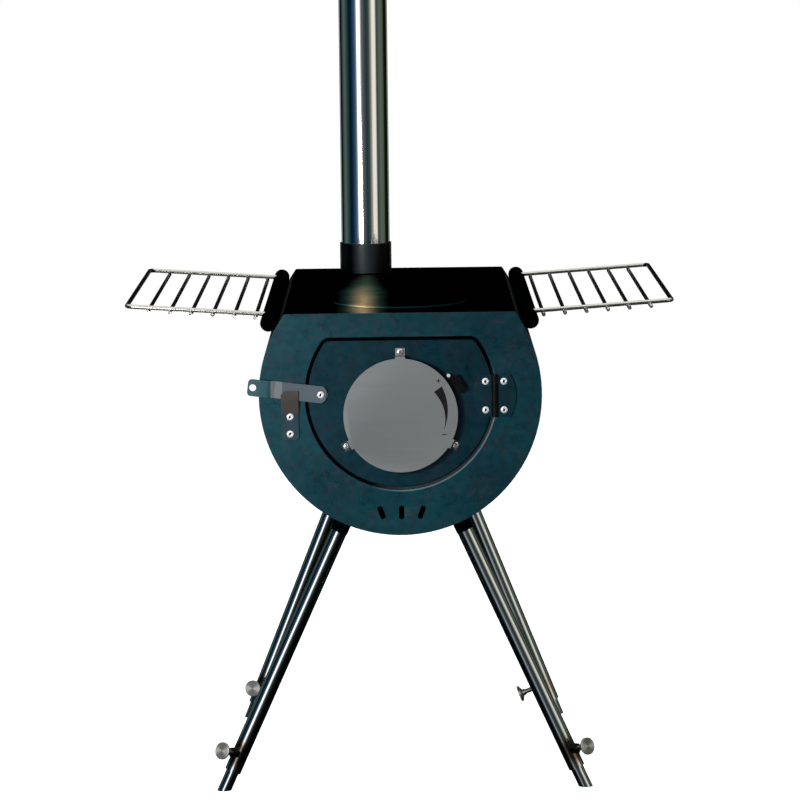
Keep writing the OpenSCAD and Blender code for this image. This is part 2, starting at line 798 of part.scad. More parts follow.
// Nuts that hold the shield on its screws
module shield_nuts() {
    color(grey) on_stove() for (a = cover_tab_angles) translate([screw_x(a), shield_y + shield_t, screw_z(a)])
        rotate([-90, 0, 0]) difference() {
            cylinder(r = small_nut_af / 2 / cos(30), h = small_nut_h, $fn = hex_sides);
            translate([0, 0, -cut]) cylinder(r = screw_hole_r, h = small_nut_h + 2 * cut);
        }
}

// Bare round cover on three stepped tabs
module damper_cover() {
    foot_end = cover_r + cover_foot_l;
    color(grey) on_stove() translate([0, 0, -cover_drop]) {
        difference() {
            union() {
                sheet(-cover_reach, cover_t) circle(cover_r);
                for (a = cover_tab_angles) rotate([0, -a, 0]) translate([0, 0, -cover_tab_w / 2]) {
                    translate([tab_root_r, -cover_reach, 0])
                        cube([tab_leg_r + cover_t - tab_root_r, cover_t, cover_tab_w]);
                    translate([tab_leg_r, -cover_reach, 0]) cube([cover_t, cover_reach, cover_tab_w]);
                    translate([tab_leg_r, -cover_t, 0]) cube([foot_end - tab_leg_r, cover_t, cover_tab_w]);
                }
            }
            for (a = cover_tab_angles)
                hole(screw_x(a), screw_z(a) + cover_drop, screw_hole_r, -cover_t, 0);
        }
    }
}

// Screws through the cover's feet, the door, the spacers and the shield
module cover_screws() {
    color(steel) on_stove() for (a = cover_tab_angles) translate([screw_x(a), 0, screw_z(a)]) {
        bar_y(screw_head_r, -cover_t - screw_head_h, -cover_t);
        bar_y(screw_r, -cover_t, screw_end);
    }
}

// Pivot on which the damper disc turns
module damper_pivot() {
    color(steel) on_stove() translate([0, 0, -cover_drop]) {
        bar_y(pivot_head_r, rotor_front - seat_gap - pivot_head_h, rotor_front - seat_gap);
        bar_y(damper_pivot_r, rotor_front - seat_gap, door_t);
        bar_y(pivot_head_r, door_t, door_t + pivot_head_h);
    }
}

// Pin that stops the damper's arm when it is open
module damper_stop_pin() {
    color(steel) on_stove() translate([stop_pin_circle_r * cos(stop_pin_angle), 0,
                                       stop_pin_circle_r * sin(stop_pin_angle) - cover_drop]) {
        bar_y(stop_pin_r, -grip_h, door_t);
    }
}

// Rivet on which the latch lever turns
module latch_rivet() {
    color(steel) on_stove() rivet(-latch_x, latch_z, lever_front, door_t, rivet_tail_h);
}

// Washer between the lever and the door
module latch_washer() {
    color(grey) on_stove() translate([-latch_x, -washer_t, latch_z]) rotate([-90, 0, 0])
        tube(washer_r, washer_r - rivet_hole_r, washer_t - run_gap);
}

// Spring-steel lever, stepped outward to a finger tab with a hole
module latch_lever() {
    half = lever_w / 2;
    bend_a = -lever_l * bend_start_share;
    bend_b = -lever_l * bend_end_share;
    tab_end = -lever_l + tab_corner_r;
    color(grey) on_stove() translate([-latch_x, 0, latch_z]) rotate([0, lever_tilt, 0]) difference() {
        intersection() {
            translate([0, 0, -half]) linear_extrude(lever_w)
                polygon([[lever_heel, lever_back], [bend_a, lever_back], [bend_b, lever_back - lever_step],
                         [-lever_l, lever_back - lever_step], [-lever_l, lever_front - lever_step],
                         [bend_b, lever_front - lever_step], [bend_a, lever_front], [lever_heel, lever_front]]);
            sheet(lever_front - lever_step - cut, lever_t + lever_step + 2 * cut)
                polygon(concat([[lever_heel - lever_clip, -half], [lever_heel, lever_clip - half],
                                [lever_heel, half - lever_clip], [lever_heel - lever_clip, half]],
                               corner_points(tab_end, half - tab_corner_r, tab_corner_r, 90, 180),
                               corner_points(tab_end, tab_corner_r - half, tab_corner_r, 180, 270)));
        }
        hole(0, 0, rivet_hole_r, lever_front, lever_back);
        hole(-lever_l * tab_hole_share, 0, tab_hole_r, lever_front - lever_step, lever_back - lever_step);
    }
}

// Disc with four windows and an arm that reaches out beside the cover
module damper_rotor() {
    color(grey) on_stove() translate([0, 0, -cover_drop]) difference() {
        sheet(rotor_front, rotor_t) {
            circle(rotor_r);
            rotate(arm_angle) translate([0, -arm_w / 2]) square([arm_end_r, arm_w]);
        }
        for (a = air_angles)
            hole(air_circle_r * cos(a), air_circle_r * sin(a), air_hole_r, rotor_front, rotor_back);
        hole(0, 0, damper_pivot_r + run_gap, rotor_front, rotor_back);
    }
}

// Ribbed grip on the arm's end
module damper_grip() {
    rib_t = grip_w / (2 * grip_ribs + 1);
    color(black) on_stove() translate([0, 0, -cover_drop]) rotate([0, -arm_angle, 0])
        translate([grip_r, rotor_front - grip_h + rotor_t, -grip_w / 2]) {
            cube([grip_l, grip_h - rotor_t, grip_w]);
            for (i = [0 : grip_ribs]) translate([0, -rib_t / 2, 2 * i * rib_t])
                cube([grip_l, rib_t, rib_t]);
        }
}

// Loose hob lid with a ring that centres it in its hole
module hob_lid() {
    color(black) on_stove() translate([0, lid_y, top_h + seat_gap]) {
        cylinder(r = lid_r, h = lid_t);
        translate([0, 0, -lid_ring_h]) tube(lid_ring_r, lid_ring_t, lid_ring_h);
    }
}

// First flue section, with a widened upper end for the next one
module stove_pipe() {
    straight = pipe_l - bell_l;
    color(steel) on_stove() translate([-flue_x, flue_y, top_h + seat_gap]) rotate_extrude()
        polygon([[pipe_in_r, 0], [pipe_r, 0], [pipe_r, straight - bell_cone_l], [bell_r, straight],
                 [bell_r, pipe_l], [bell_in_r, pipe_l], [bell_in_r, straight],
                 [pipe_in_r, straight - bell_cone_l]]);
}

// Distances along a leg's axis from its meeting point: to the drum, to the leg tube, to the foot
function leg_drum(leg) = leg[2] * cos(leg[1]) + sqrt(pow(drum_r, 2) - pow(leg[2] * sin(leg[1]), 2));
function leg_start(leg) = leg_drum(leg) + boss_h;
function leg_foot(leg) = (axis_z + leg[2]) / cos(leg[1]);

// Places a piece on a leg: Z runs down the leg from the meeting point
module on_leg(side, leg) {
    translate([0, front_y + leg[0], axis_z + leg[2]]) rotate([0, side * (180 - leg[1]), 0]) children();
}

// Places a piece on a leg screw: Z runs out along the screw from the leg's axis
module on_screw(side, leg, azimuth) {
    on_leg(side, leg) translate([0, 0, leg_start(leg) + leg_l - screw_up])
        rotate([0, 0, -90 - side * azimuth]) rotate([0, 90, 0]) children();
}

// Boss on the drum with the spigot that carries a leg tube
module leg_stub(side, leg) {
    color(black) difference() {
        on_leg(side, leg) translate([0, 0, leg_start(leg)]) {
            translate([0, 0, -boss_h - boss_r]) cylinder(r = boss_r, h = boss_h + boss_r);
            translate([0, 0, -boss_h]) cylinder(r = spigot_r, h = boss_h + spigot_l);
        }
        on_stove() bar_y(drum_r + weld_gap, leg[0] - 2 * boss_r, leg[0] + 2 * boss_r);
    }
}

// Outer leg tube with the hole of its screw
module leg_tube(side, leg, azimuth) {
    color(steel) difference() {
        on_leg(side, leg) translate([0, 0, leg_start(leg)]) tube(leg_r, leg_t, leg_l);
        on_screw(side, leg, azimuth) cylinder(r = thread_r + seat_gap, h = leg_r + cut);
    }
}

// Nut welded on a leg tube
module leg_nut(side, leg, azimuth) {
    color(iron) difference() {
        on_screw(side, leg, azimuth) difference() {
            cylinder(r = nut_r, h = leg_r + nut_h, $fn = hex_sides);
            cylinder(r = thread_r + run_gap, h = leg_r + nut_h + cut);
        }
        on_leg(side, leg) translate([0, 0, leg_start(leg)]) cylinder(r = leg_r + weld_gap, h = leg_l);
    }
}

// Inner leg tube, cut level with the floor
module leg_slider(side, leg) {
    color(steel) difference() {
        on_leg(side, leg) translate([0, 0, leg_foot(leg) - slider_l]) tube(slider_r, slider_t, slider_l + leg_r);
        translate([-foot_reach, front_y, -2 * leg_r]) cube([2 * foot_reach, body_l, 2 * leg_r]);
    }
}

// Thumb screw with a turned knob
module leg_screw(side, leg, azimuth) {
    rim_back = knob_reach - knob_rim_t;
    cone_end = rim_back - knob_cone_l;
    neck_end = cone_end - knob_cone_l;
    edge = knob_rim_t * knob_edge_share;
    color(grey) on_screw(side, leg, azimuth) rotate_extrude()
        polygon([[0, slider_r + seat_gap], [thread_r, slider_r + seat_gap],
                 [thread_r, neck_end], [neck_r, neck_end],
                 [neck_r, cone_end], [knob_r, rim_back], [knob_r, knob_reach - edge],
                 [knob_r - edge, knob_reach], [0, knob_reach]]);
}

drum_shell();
cooktop();
front_plate();
back_plate();
door_stop_ring();
flue_collar();
fire_grate();
grate_rail(left);  // grate_rail_left
grate_rail(right);  // grate_rail_right
side_tube(left);  // side_tube_left
side_tube(right);  // side_tube_right
tube_plugs(left);  // tube_plugs_left
tube_plugs(right);  // tube_plugs_right
latch_keeper();
keeper_rivets();
hinge_frame_leaf();
hinge_frame_rivets();
hinge_pin();
leg_stub(left, front_leg);  // leg_stub_front_left
leg_stub(right, front_leg);  // leg_stub_front_right
leg_stub(left, rear_leg);  // leg_stub_rear_left
leg_stub(right, rear_leg);  // leg_stub_rear_right
leg_tube(left, front_leg, azimuth_front_left);  // leg_tube_front_left
leg_tube(right, front_leg, azimuth_front_right);  // leg_tube_front_right
leg_tube(left, rear_leg, azimuth_rear_left);  // leg_tube_rear_left
leg_tube(right, rear_leg, azimuth_rear_right);  // leg_tube_rear_right
leg_nut(left, front_leg, azimuth_front_left);  // leg_nut_front_left
leg_nut(right, front_leg, azimuth_front_right);  // leg_nut_front_right
leg_nut(left, rear_leg, azimuth_rear_left);  // leg_nut_rear_left
leg_nut(right, rear_leg, azimuth_rear_right);  // leg_nut_rear_right
door_plate();
hinge_door_leaf();
hinge_door_rivets();
heat_shield();
shield_spacers();
shield_nuts();
damper_cover();
cover_screws();
damper_pivot();
damper_stop_pin();
latch_rivet();
latch_washer();
latch_lever();
damper_rotor();
damper_grip();
rack(left);  // rack_left
rack(right);  // rack_right
rack_rod(left);  // rack_rod_left
rack_rod(right);  // rack_rod_right
hob_lid();
stove_pipe();
leg_slider(left, front_leg);  // leg_slider_front_left
leg_slider(right, front_leg);  // leg_slider_front_right
leg_slider(left, rear_leg);  // leg_slider_rear_left
leg_slider(right, rear_leg);  // leg_slider_rear_right
leg_screw(left, front_leg, azimuth_front_left);  // leg_screw_front_left
leg_screw(right, front_leg, azimuth_front_right);  // leg_screw_front_right
leg_screw(left, rear_leg, azimuth_rear_left);  // leg_screw_rear_left
leg_screw(right, rear_leg, azimuth_rear_right);  // leg_screw_rear_right
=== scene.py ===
"""Looks of a tent wood stove: enamelled drum, brushed damper cover, polished pipe and legs, wire racks.

Outlines and places on the stove are in millimetres and go through at(). Finishes, lamps and the
camera are in metres of the row frame.
"""

import json
import logging
import math
from dataclasses import dataclass, replace
from enum import Enum
from functools import cache
from typing import Protocol

import bmesh
import bpy
from mathutils import Matrix, Vector

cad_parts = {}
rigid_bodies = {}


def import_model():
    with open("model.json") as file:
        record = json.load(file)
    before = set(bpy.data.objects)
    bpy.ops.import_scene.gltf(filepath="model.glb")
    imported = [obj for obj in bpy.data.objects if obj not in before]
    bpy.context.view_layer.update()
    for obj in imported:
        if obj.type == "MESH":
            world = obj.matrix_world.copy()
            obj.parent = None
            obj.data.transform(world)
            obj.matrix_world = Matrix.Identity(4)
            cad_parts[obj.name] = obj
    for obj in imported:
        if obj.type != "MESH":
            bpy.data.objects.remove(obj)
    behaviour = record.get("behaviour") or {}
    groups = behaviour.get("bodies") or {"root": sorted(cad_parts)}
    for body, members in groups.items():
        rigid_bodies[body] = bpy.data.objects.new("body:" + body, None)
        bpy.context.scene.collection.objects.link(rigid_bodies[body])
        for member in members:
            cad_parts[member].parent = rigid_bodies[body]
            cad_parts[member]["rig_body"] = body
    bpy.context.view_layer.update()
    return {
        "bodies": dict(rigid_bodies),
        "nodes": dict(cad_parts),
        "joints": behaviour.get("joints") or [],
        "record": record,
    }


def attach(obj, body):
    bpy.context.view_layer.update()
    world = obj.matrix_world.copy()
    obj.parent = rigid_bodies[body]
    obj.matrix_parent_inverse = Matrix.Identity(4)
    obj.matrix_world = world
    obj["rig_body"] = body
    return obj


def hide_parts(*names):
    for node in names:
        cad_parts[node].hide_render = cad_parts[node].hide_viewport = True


log = logging.getLogger("stove")

Shape = bmesh.types.BMesh
Material = bpy.types.Material
Socket = bpy.types.NodeSocket
Color = tuple[float, float, float]
Place = tuple[float, float, float]
Range = tuple[float, float]
Outline = tuple[tuple[float, float], ...]
Stops = tuple[tuple[float, Color], ...]

MM = 0.001
FRONT_Y = -0.27425
AXIS_Z = 0.457892
DRUM_R = 160
TOP_Z = 93.6
LID_EDGE_H = 1.8
FLUE_X = -41
FLUE_Y = 497

FULL_TURN = 2 * math.pi
SOFT_ANGLE = math.radians(17)
ROUND_ANGLE = math.radians(38)
FLAT_ANGLE = math.radians(0.6)
SHARP_ANGLE = math.radians(30)
CAD_MERGE = 1e-6
OWN_MERGE = 1e-7

PLATE_EDGE = 0.5
PAINTED_EDGE = 0.4
MIDDLE_EDGE = 0.35
STEEL_EDGE = 0.3
THIN_EDGE = 0.25
WASHER_EDGE = 0.2

WHITE = (1, 1, 1)
UNLIT = (0.001, 0.001, 0.002)
UP = Vector((0, 0, 1))
AHEAD = Vector((0, -1, 0))


class Side(Enum):
    """Left and right, seen from the front."""

    LEFT = -1
    RIGHT = 1

    @property
    def word(self) -> str:
        """The side's name as the nodes spell it."""
        return self.name.lower()


class Row(Enum):
    """Front and rear legs."""

    FRONT = "front"
    REAR = "rear"


class Axis(Enum):
    """A coordinate, by its place in a vector."""

    X = 0
    Y = 1
    Z = 2


def at(x: float, y: float, z: float) -> Vector:
    """A place on the stove in the row frame.

    Args:
        x: millimetres to the right of the middle.
        y: millimetres behind the front face.
        z: millimetres above the drum's axis.

    Returns:
        The point in metres.
    """
    return Vector((x * MM, FRONT_Y + y * MM, AXIS_Z + z * MM))


def rounded(point: Vector) -> Place:
    """A point as plain numbers, to the nearest micrometre."""
    return tuple(round(c, 6) for c in point)


def grey(level: float) -> Color:
    """A grey of some brightness."""
    return (level, level, level)


def scaled(color: Color, share: float) -> Color:
    """A lighter or darker colour, no brighter than white."""
    return tuple(min(1.0, c * share) for c in color)


def meshed(name: str, bm: Shape) -> bpy.types.Mesh:
    """Turns a shape into a mesh.

    Args:
        name: the mesh's name.
        bm: the shape, freed here.

    Returns:
        The mesh.
    """
    mesh = bpy.data.meshes.new(name)
    bm.to_mesh(mesh)
    bm.free()
    return mesh


def shown(name: str, data: bpy.types.ID) -> bpy.types.Object:
    """Puts an object into the scene.

    Args:
        name: its name.
        data: its mesh, lamp or camera.

    Returns:
        The object.
    """
    made = bpy.data.objects.new(name, data)
    bpy.context.scene.collection.objects.link(made)
    return made


class Tree:
    """A node tree, built in short steps."""

    def __init__(self, tree: bpy.types.NodeTree) -> None:
        """Takes the tree to build in."""
        self.tree = tree

    def link(self, source: Socket, target: Socket) -> None:
        """Links a source to an input."""
        self.tree.links.new(source, target)

    def node(self, kind: str, inputs: dict, **props: object) -> bpy.types.Node:
        """Adds a node.

        Args:
            kind: the node's type without its ShaderNode prefix.
            inputs: values or sources by socket name or number.
            props: the node's own settings.

        Returns:
            The new node.
        """
        made = self.tree.nodes.new("ShaderNode" + kind)
        for key, value in props.items():
            setattr(made, key, value)
        for key, value in inputs.items():
            if isinstance(value, bpy.types.NodeSocket):
                self.link(value, made.inputs[key])
            else:
                made.inputs[key].default_value = value
        return made

    def axes(self, vector: Socket) -> tuple[Socket, Socket, Socket]:
        """The three coordinates of a vector."""
        return tuple(self.node("SeparateXYZ", {0: vector}).outputs)

    def span(self, source: Socket, low: float, high: float, to_low: float = 0, to_high: float = 1) -> Socket:
        """Maps a range to another and clamps it."""
        return self.node("MapRange", {0: source, 1: low, 2: high, 3: to_low, 4: to_high}).outputs[0]

    def math(self, operation: str, first: object, second: object = 0.0) -> Socket:
        """One arithmetic step."""
        return self.node("Math", {0: first, 1: second}, operation=operation).outputs[0]

    def vector(self, operation: str, first: object, second: object = (0, 0, 0)) -> Socket:
        """One step with vectors, which gives a number or else a vector."""
        made = self.node("VectorMath", {0: first, 1: second}, operation=operation)
        return made.outputs["Value" if operation in ("LENGTH", "DISTANCE", "DOT_PRODUCT") else "Vector"]

    def mix(self, factor: object, first: object, second: object) -> Socket:
        """Mixes two colours."""
        ends = [(*c, 1) if isinstance(c, tuple) else c for c in (first, second)]
        return self.node("Mix", {0: factor, 6: ends[0], 7: ends[1]}, data_type="RGBA").outputs[2]

    def ramp(self, source: Socket, rows: Stops, low: float, high: float) -> Socket:
        """Colours by a value.

        Args:
            source: the value.
            rows: the value and colour of each stop.
            low: the value at the ramp's start.
            high: the value at its end.

        Returns:
            The colour.
        """
        made = self.node("ValToRGB", {0: self.span(source, low, high)})
        stops = made.color_ramp.elements
        while len(stops) > 1:
            stops.remove(stops[-1])
        for number, (value, color) in enumerate(rows):
            place = (value - low) / (high - low)
            stop = stops.new(place) if number else stops[0]
            stop.position = place
            stop.color = (*color, 1)
        return made.outputs[0]


class Graph(Tree):
    """A material's node tree, with its shader, the object's own coordinates and the colour so far."""

    def __init__(self, name: str, tone: Color = WHITE) -> None:
        """Starts a material with a bare shader.

        Args:
            name: the material's name.
            tone: the colour that others are laid over.
        """
        self.tone = tone
        self.material = bpy.data.materials.new(name)
        self.material.use_nodes = True
        super().__init__(self.material.node_tree)
        self.shader = self.tree.nodes["Principled BSDF"]
        self.place = self.node("TexCoord", {}).outputs["Object"]

    def set(self, **values: object) -> None:
        """Sets the shader's own sockets; an underscore stands for a blank in a socket's name."""
        for key, value in values.items():
            self.shader.inputs[key.replace("_", " ")].default_value = value

    def into(self, socket: str, source: Socket) -> None:
        """Links a source to a socket of the shader."""
        self.link(source, self.shader.inputs[socket])

    def lay(self, factor: Socket, color: object) -> None:
        """Lays a colour over the colour so far."""
        self.tone = self.mix(factor, self.tone, color)

    def mapped(self, scale: Place = (1, 1, 1), location: Place = (0, 0, 0)) -> Socket:
        """Object coordinates, moved and scaled."""
        return self.node("Mapping", {"Vector": self.place, "Scale": scale, "Location": location}).outputs[0]

    def noise(self, scale: float, detail: float = 4, rough: float = 0.55,
              vector: Socket | None = None) -> Socket:
        """Noise, seeded by nothing but the place."""
        inputs = {"Vector": vector or self.place, "Scale": scale, "Detail": detail, "Roughness": rough}
        return self.node("TexNoise", inputs).outputs["Fac"]

    def bump(self, height: Socket, distance: float, strength: float, under: Socket | None = None) -> Socket:
        """Turns a height into a normal.

        Args:
            height: the relief.
            distance: its depth in metres.
            strength: how much of it shows.
            under: another bump that it lies on.

        Returns:
            The normal.
        """
        inputs = {"Height": height, "Distance": distance, "Strength": strength}
        if under:
            inputs["Normal"] = under
        return self.node("Bump", inputs).outputs[0]


class Mark(Protocol):
    """Something that changes a finish's colour in one place."""

    def lie_on(self, g: Graph) -> None:
        """Lays the mark over a material's colour."""


class Finish(Protocol):
    """What a piece is finished in."""

    def make(self) -> Material:
        """Builds the material."""


@dataclass(frozen=True)
class Zone:
    """A slab across one axis, in metres, that has a colour of its own; some zones stand for painted light or
    shade rather than the thing's own colour.
    """

    axis: Axis
    low: float
    high: float
    color: Color
    soft: float = 0.0001

    def lie_on(self, g: Graph) -> None:
        """Lays the slab's colour over the material.

        Args:
            g: the material.
        """
        place = g.axes(g.place)[self.axis.value]
        rise = g.span(place, self.low, self.low + self.soft)
        fall = g.span(place, self.high - self.soft, self.high, 1, 0)
        g.lay(g.math("MULTIPLY", rise, fall), self.color)


@dataclass(frozen=True)
class FlueStain:
    """A painted reflection of the pipe on the cooktop: a straw-coloured and blue glow that fans out in front
    of the flue.
    """

    foot: Range
    middle: float = 0.005
    waver: float = 0.012
    halo_spreads: Range = (0.03, 0.25)
    halo_widths: Range = (0.012, 0.031)
    halo_edge: Range = (0.2, 1.0)
    halo_grows: Range = (0.03, 0.22)
    halo_least: float = 0.25
    core_edge: Range = (0.002, 0.021)
    core_grows: Range = (0.15, 0.36)
    core_least: float = 0.03
    streaks: Place = (30, 900, 1)
    blue: Color = (0.05, 0.125, 0.09)
    straw: Color = (0.62, 0.42, 0.21)
    bright: Color = (0.75, 0.64, 0.46)

    def lie_on(self, g: Graph) -> None:
        """Lays the painted reflection over the material.

        Args:
            g: the material.
        """
        east, depth, _ = g.axes(g.place)
        ahead = g.math("SUBTRACT", self.foot[1], depth)
        wave = g.math("MULTIPLY", g.noise(scale=14, detail=3), self.waver)
        beside = g.math("ADD", g.math("SUBTRACT", east, self.foot[0]), g.math("SUBTRACT", wave, self.middle))
        aside = g.math("ABSOLUTE", beside)
        width = g.span(ahead, *self.halo_spreads, *self.halo_widths)
        halo = g.math("POWER", g.span(g.math("DIVIDE", aside, width), *self.halo_edge, 1, 0), 1.5)
        halo = g.math("MULTIPLY", halo, g.span(ahead, *self.halo_grows, to_low=self.halo_least))
        core = g.math("POWER", g.span(aside, *self.core_edge, 1, 0), 2.0)
        core = g.math("MULTIPLY", core, g.span(ahead, *self.core_grows, to_low=self.core_least))
        grain = g.noise(scale=1, detail=3, rough=0.6, vector=g.mapped(self.streaks))
        # The halo and the core are the painted reflection of the bright pipe in the cooktop.
        g.lay(halo, self.blue)
        g.lay(core, g.mix(g.span(grain, 0.35, 0.7, to_high=0.35), self.straw, self.bright))


@dataclass(frozen=True)
class Rub:
    """A pale arc of painted light at the lower right of the door's opening, where the lamp from the upper
    left lights the edge and the ring behind the gap.
    """

    inner: float
    outer: float
    color: Color
    soft: float = 0.0002
    toward: Place = (0.707, 0, -0.707)
    sector: Range = (0.45, 0.75)

    def lie_on(self, g: Graph) -> None:
        """Lays the arc over the material.

        Args:
            g: the material.
        """
        flat = g.vector("MULTIPLY", g.mapped(location=(0, 0, -AXIS_Z)), (1, 0, 1))
        away = g.vector("LENGTH", flat)
        along = g.math("DIVIDE", g.vector("DOT_PRODUCT", flat, self.toward), away)
        rise = g.span(away, self.inner, self.inner + self.soft)
        fall = g.span(away, self.outer - self.soft, self.outer, 1, 0)
        band = g.math("MULTIPLY", rise, fall)
        g.lay(g.math("MULTIPLY", g.span(along, *self.sector), band), self.color)


@dataclass(frozen=True)
class WeldTint:
    """A straw-coloured heat tint round a weld."""

    centre: Place
    reach: float = 0.032
    near: float = 0.012
    waver: float = 0.012
    core: Range = (0.018, 0.011)
    straw: Color = (0.5, 0.3, 0.12)
    straw_amount: float = 0.85
    burnt: Color = (0.07, 0.05, 0.05)
    burnt_amount: float = 0.8

    def lie_on(self, g: Graph) -> None:
        """Lays the tint over the material.

        Args:
            g: the material.
        """
        away = g.vector("DISTANCE", g.place, self.centre)
        ragged = g.math("ADD", away, g.math("MULTIPLY", g.noise(scale=60, detail=2), self.waver))
        g.lay(g.span(ragged, self.reach, self.near, to_high=self.straw_amount), self.straw)
        g.lay(g.span(away, *self.core, to_high=self.burnt_amount), self.burnt)


@dataclass(frozen=True)
class Enamel:
    """Baked heat-proof paint with a soft mottle and a fine orange-peel surface."""

    name: str
    base: Color
    light: Color
    fleck: Color
    rough: float
    fleck_amount: float
    shine: float
    marks: tuple[Mark, ...] = ()

    def make(self) -> Material:
        """Builds the material.

        Returns:
            The material.
        """
        g = Graph(self.name, self.base)
        coarse = g.math("MULTIPLY", g.noise(scale=9, detail=5, rough=0.6), 0.5)
        cloud = g.math("ADD", coarse, g.math("MULTIPLY", g.noise(scale=110, detail=3), 0.5))
        g.lay(g.span(cloud, 0.4, 0.6), self.light)
        spots = g.span(g.noise(scale=190, detail=3, rough=0.7), 0.51, 0.64)
        patches = g.span(g.noise(scale=34), 0.4, 0.6, to_low=0.1, to_high=self.fleck_amount)
        g.lay(g.math("MULTIPLY", spots, patches), self.fleck)
        for mark in self.marks:
            mark.lie_on(g)
        g.into("Base Color", g.tone)
        g.into("Roughness", g.span(g.noise(scale=45), 0.3, 0.7, self.rough - 0.06, self.rough + 0.06))
        peel = g.bump(g.noise(scale=70, detail=2), distance=0.0001, strength=0.2)
        grain = g.noise(scale=900, detail=2, rough=0.5)
        g.into("Normal", g.bump(grain, distance=0.00005, strength=0.3, under=peel))
        g.set(Specular_IOR_Level=self.shine)
        return g.material


@dataclass(frozen=True)
class Steel:
    """Bare steel with fine lines along one direction."""

    name: str
    color: Color
    rough: float
    lines: Place = (1, 1, 1)
    line_scale: float = 500
    contrast: float = 0.12
    relief: float = 0.00002
    wave: float = 0.0
    dark: Color | None = None
    dark_amount: float = 0.0
    metallic: float = 1.0
    marks: tuple[Mark, ...] = ()

    def start(self) -> Graph:
        """Starts the node tree.

        Returns:
            The graph, with its colour still to be linked.
        """
        g = Graph(self.name, scaled(self.color, 1 - self.contrast))
        streak = g.noise(self.line_scale, detail=3, rough=0.6, vector=g.mapped(self.lines))
        g.lay(g.span(streak, 0.3, 0.7), scaled(self.color, 1 + self.contrast))
        if self.dark:
            cloud = g.noise(scale=30, detail=5, rough=0.65)
            g.lay(g.span(cloud, 0.4, 0.7, to_high=self.dark_amount), self.dark)
        for mark in self.marks:
            mark.lie_on(g)
        g.into("Roughness", g.span(streak, 0.25, 0.75, self.rough * 0.8, self.rough * 1.25))
        normal = g.bump(streak, self.relief, strength=0.5)
        if self.wave:
            dents = g.noise(scale=6, detail=2, rough=0.4, vector=g.mapped(scale=(1, 1, 0.25)))
            normal = g.bump(dents, self.wave, strength=1.0, under=normal)
        g.into("Normal", normal)
        g.set(Metallic=self.metallic)
        return g

    def make(self) -> Material:
        """Builds the material.

        Returns:
            The material.
        """
        g = self.start()
        g.into("Base Color", g.tone)
        return g.material


@dataclass(frozen=True, kw_only=True)
class PartPainted(Steel):
    """Steel with a colour laid on one side of a line across it, and below a height where one is given:
    painted shade or a painted reflection, where the steel is made less metallic.
    """

    paint: Color
    line: float
    across: Axis = Axis.X
    before: bool = True
    under: float | None = None
    waver: float = 0.0006
    soft: float = 0.0003

    def make(self) -> Material:
        """Builds the material.

        Returns:
            The material.
        """
        g = self.start()
        place = g.axes(g.place)
        ragged = g.math("MULTIPLY", g.noise(scale=300, detail=2), self.waver)
        edge = g.math("ADD", place[self.across.value], ragged)
        sides = (1, 0) if self.before else (0, 1)
        painted = g.span(edge, self.line - self.soft, self.line + self.soft, *sides)
        if self.under:
            below = g.span(place[Axis.Z.value], self.under, self.under + MM, 1, 0)
            painted = g.math("MULTIPLY", painted, below)
        # The laid colour is painted shade or a painted reflection.
        g.lay(painted, self.paint)
        g.into("Base Color", g.tone)
        g.into("Metallic", g.span(painted, 0, 1, to_low=self.metallic, to_high=0))
        return g.material


@dataclass(frozen=True, kw_only=True)
class TurnedSteel(Steel):
    """Steel turned on a lathe, with fine rings about an axis; it is less metallic on its end face, and its
    colour has a painted bow-tie highlight along the level direction.
    """

    centre: Place
    axis: Place
    ring: float = 0.0009
    eye: float = 0.0002
    face_from: Range = (0.0335, 0.0345)

    def make(self) -> Material:
        """Builds the material.

        Returns:
            The material.
        """
        g = self.start()
        out = g.vector("SUBTRACT", g.place, self.centre)
        away = g.vector("LENGTH", g.vector("CROSS_PRODUCT", out, self.axis))
        rings = g.math("SINE", g.math("MULTIPLY", away, FULL_TURN / self.ring))
        # Painted highlight: the face is lighter in a bow-tie along the level direction and darker above and
        # below it.
        level = Vector(self.axis).cross(UP).normalized()
        along = g.vector("DOT_PRODUCT", out, tuple(level))
        slant = g.math("ABSOLUTE", g.math("DIVIDE", along, g.math("MAXIMUM", away, self.eye)))
        painted_bowtie = g.mix(g.math("POWER", slant, 5.0), scaled(self.color, 0.3), g.tone)
        g.into("Base Color", g.mix(g.span(rings, -1, 1, to_high=0.22), painted_bowtie, scaled(self.color, 0.4)))
        g.into("Normal", g.bump(rings, distance=0.00003, strength=0.6))
        height = g.vector("DOT_PRODUCT", out, self.axis)
        g.into("Metallic", g.span(height, *self.face_from, to_low=1, to_high=self.metallic))
        return g.material


@dataclass(frozen=True)
class Plastic:
    """Matt moulded plastic with a fine spark-eroded grain."""

    name: str
    color: Color
    rough: float
    shine: float

    def make(self) -> Material:
        """Builds the material.

        Returns:
            The material.
        """
        g = Graph(self.name, self.color)
        g.lay(g.span(g.noise(scale=200, detail=3), 0.4, 0.7, to_high=0.6), scaled(self.color, 2.2))
        g.into("Base Color", g.tone)
        grain = g.noise(scale=1500, detail=2)
        g.into("Roughness", g.span(grain, 0.3, 0.7, self.rough - 0.08, self.rough + 0.08))
        g.into("Normal", g.bump(grain, distance=0.00005, strength=0.5))
        g.set(Specular_IOR_Level=self.shine)
        return g.material


TEAL = Enamel("teal_enamel", base=(0.0001, 0.0165, 0.0245), light=(0.0005, 0.030, 0.040),
              fleck=(0.026, 0.017, 0.025), rough=0.31, fleck_amount=0.8, shine=0.3)
# The front plate's teal with a painted highlight: a pale arc on the lower right edge of the door opening.
FRAME = replace(TEAL, name="frame_enamel",
                marks=(Rub(inner=0.1081, outer=0.1099, color=(0.075, 0.115, 0.115)),))
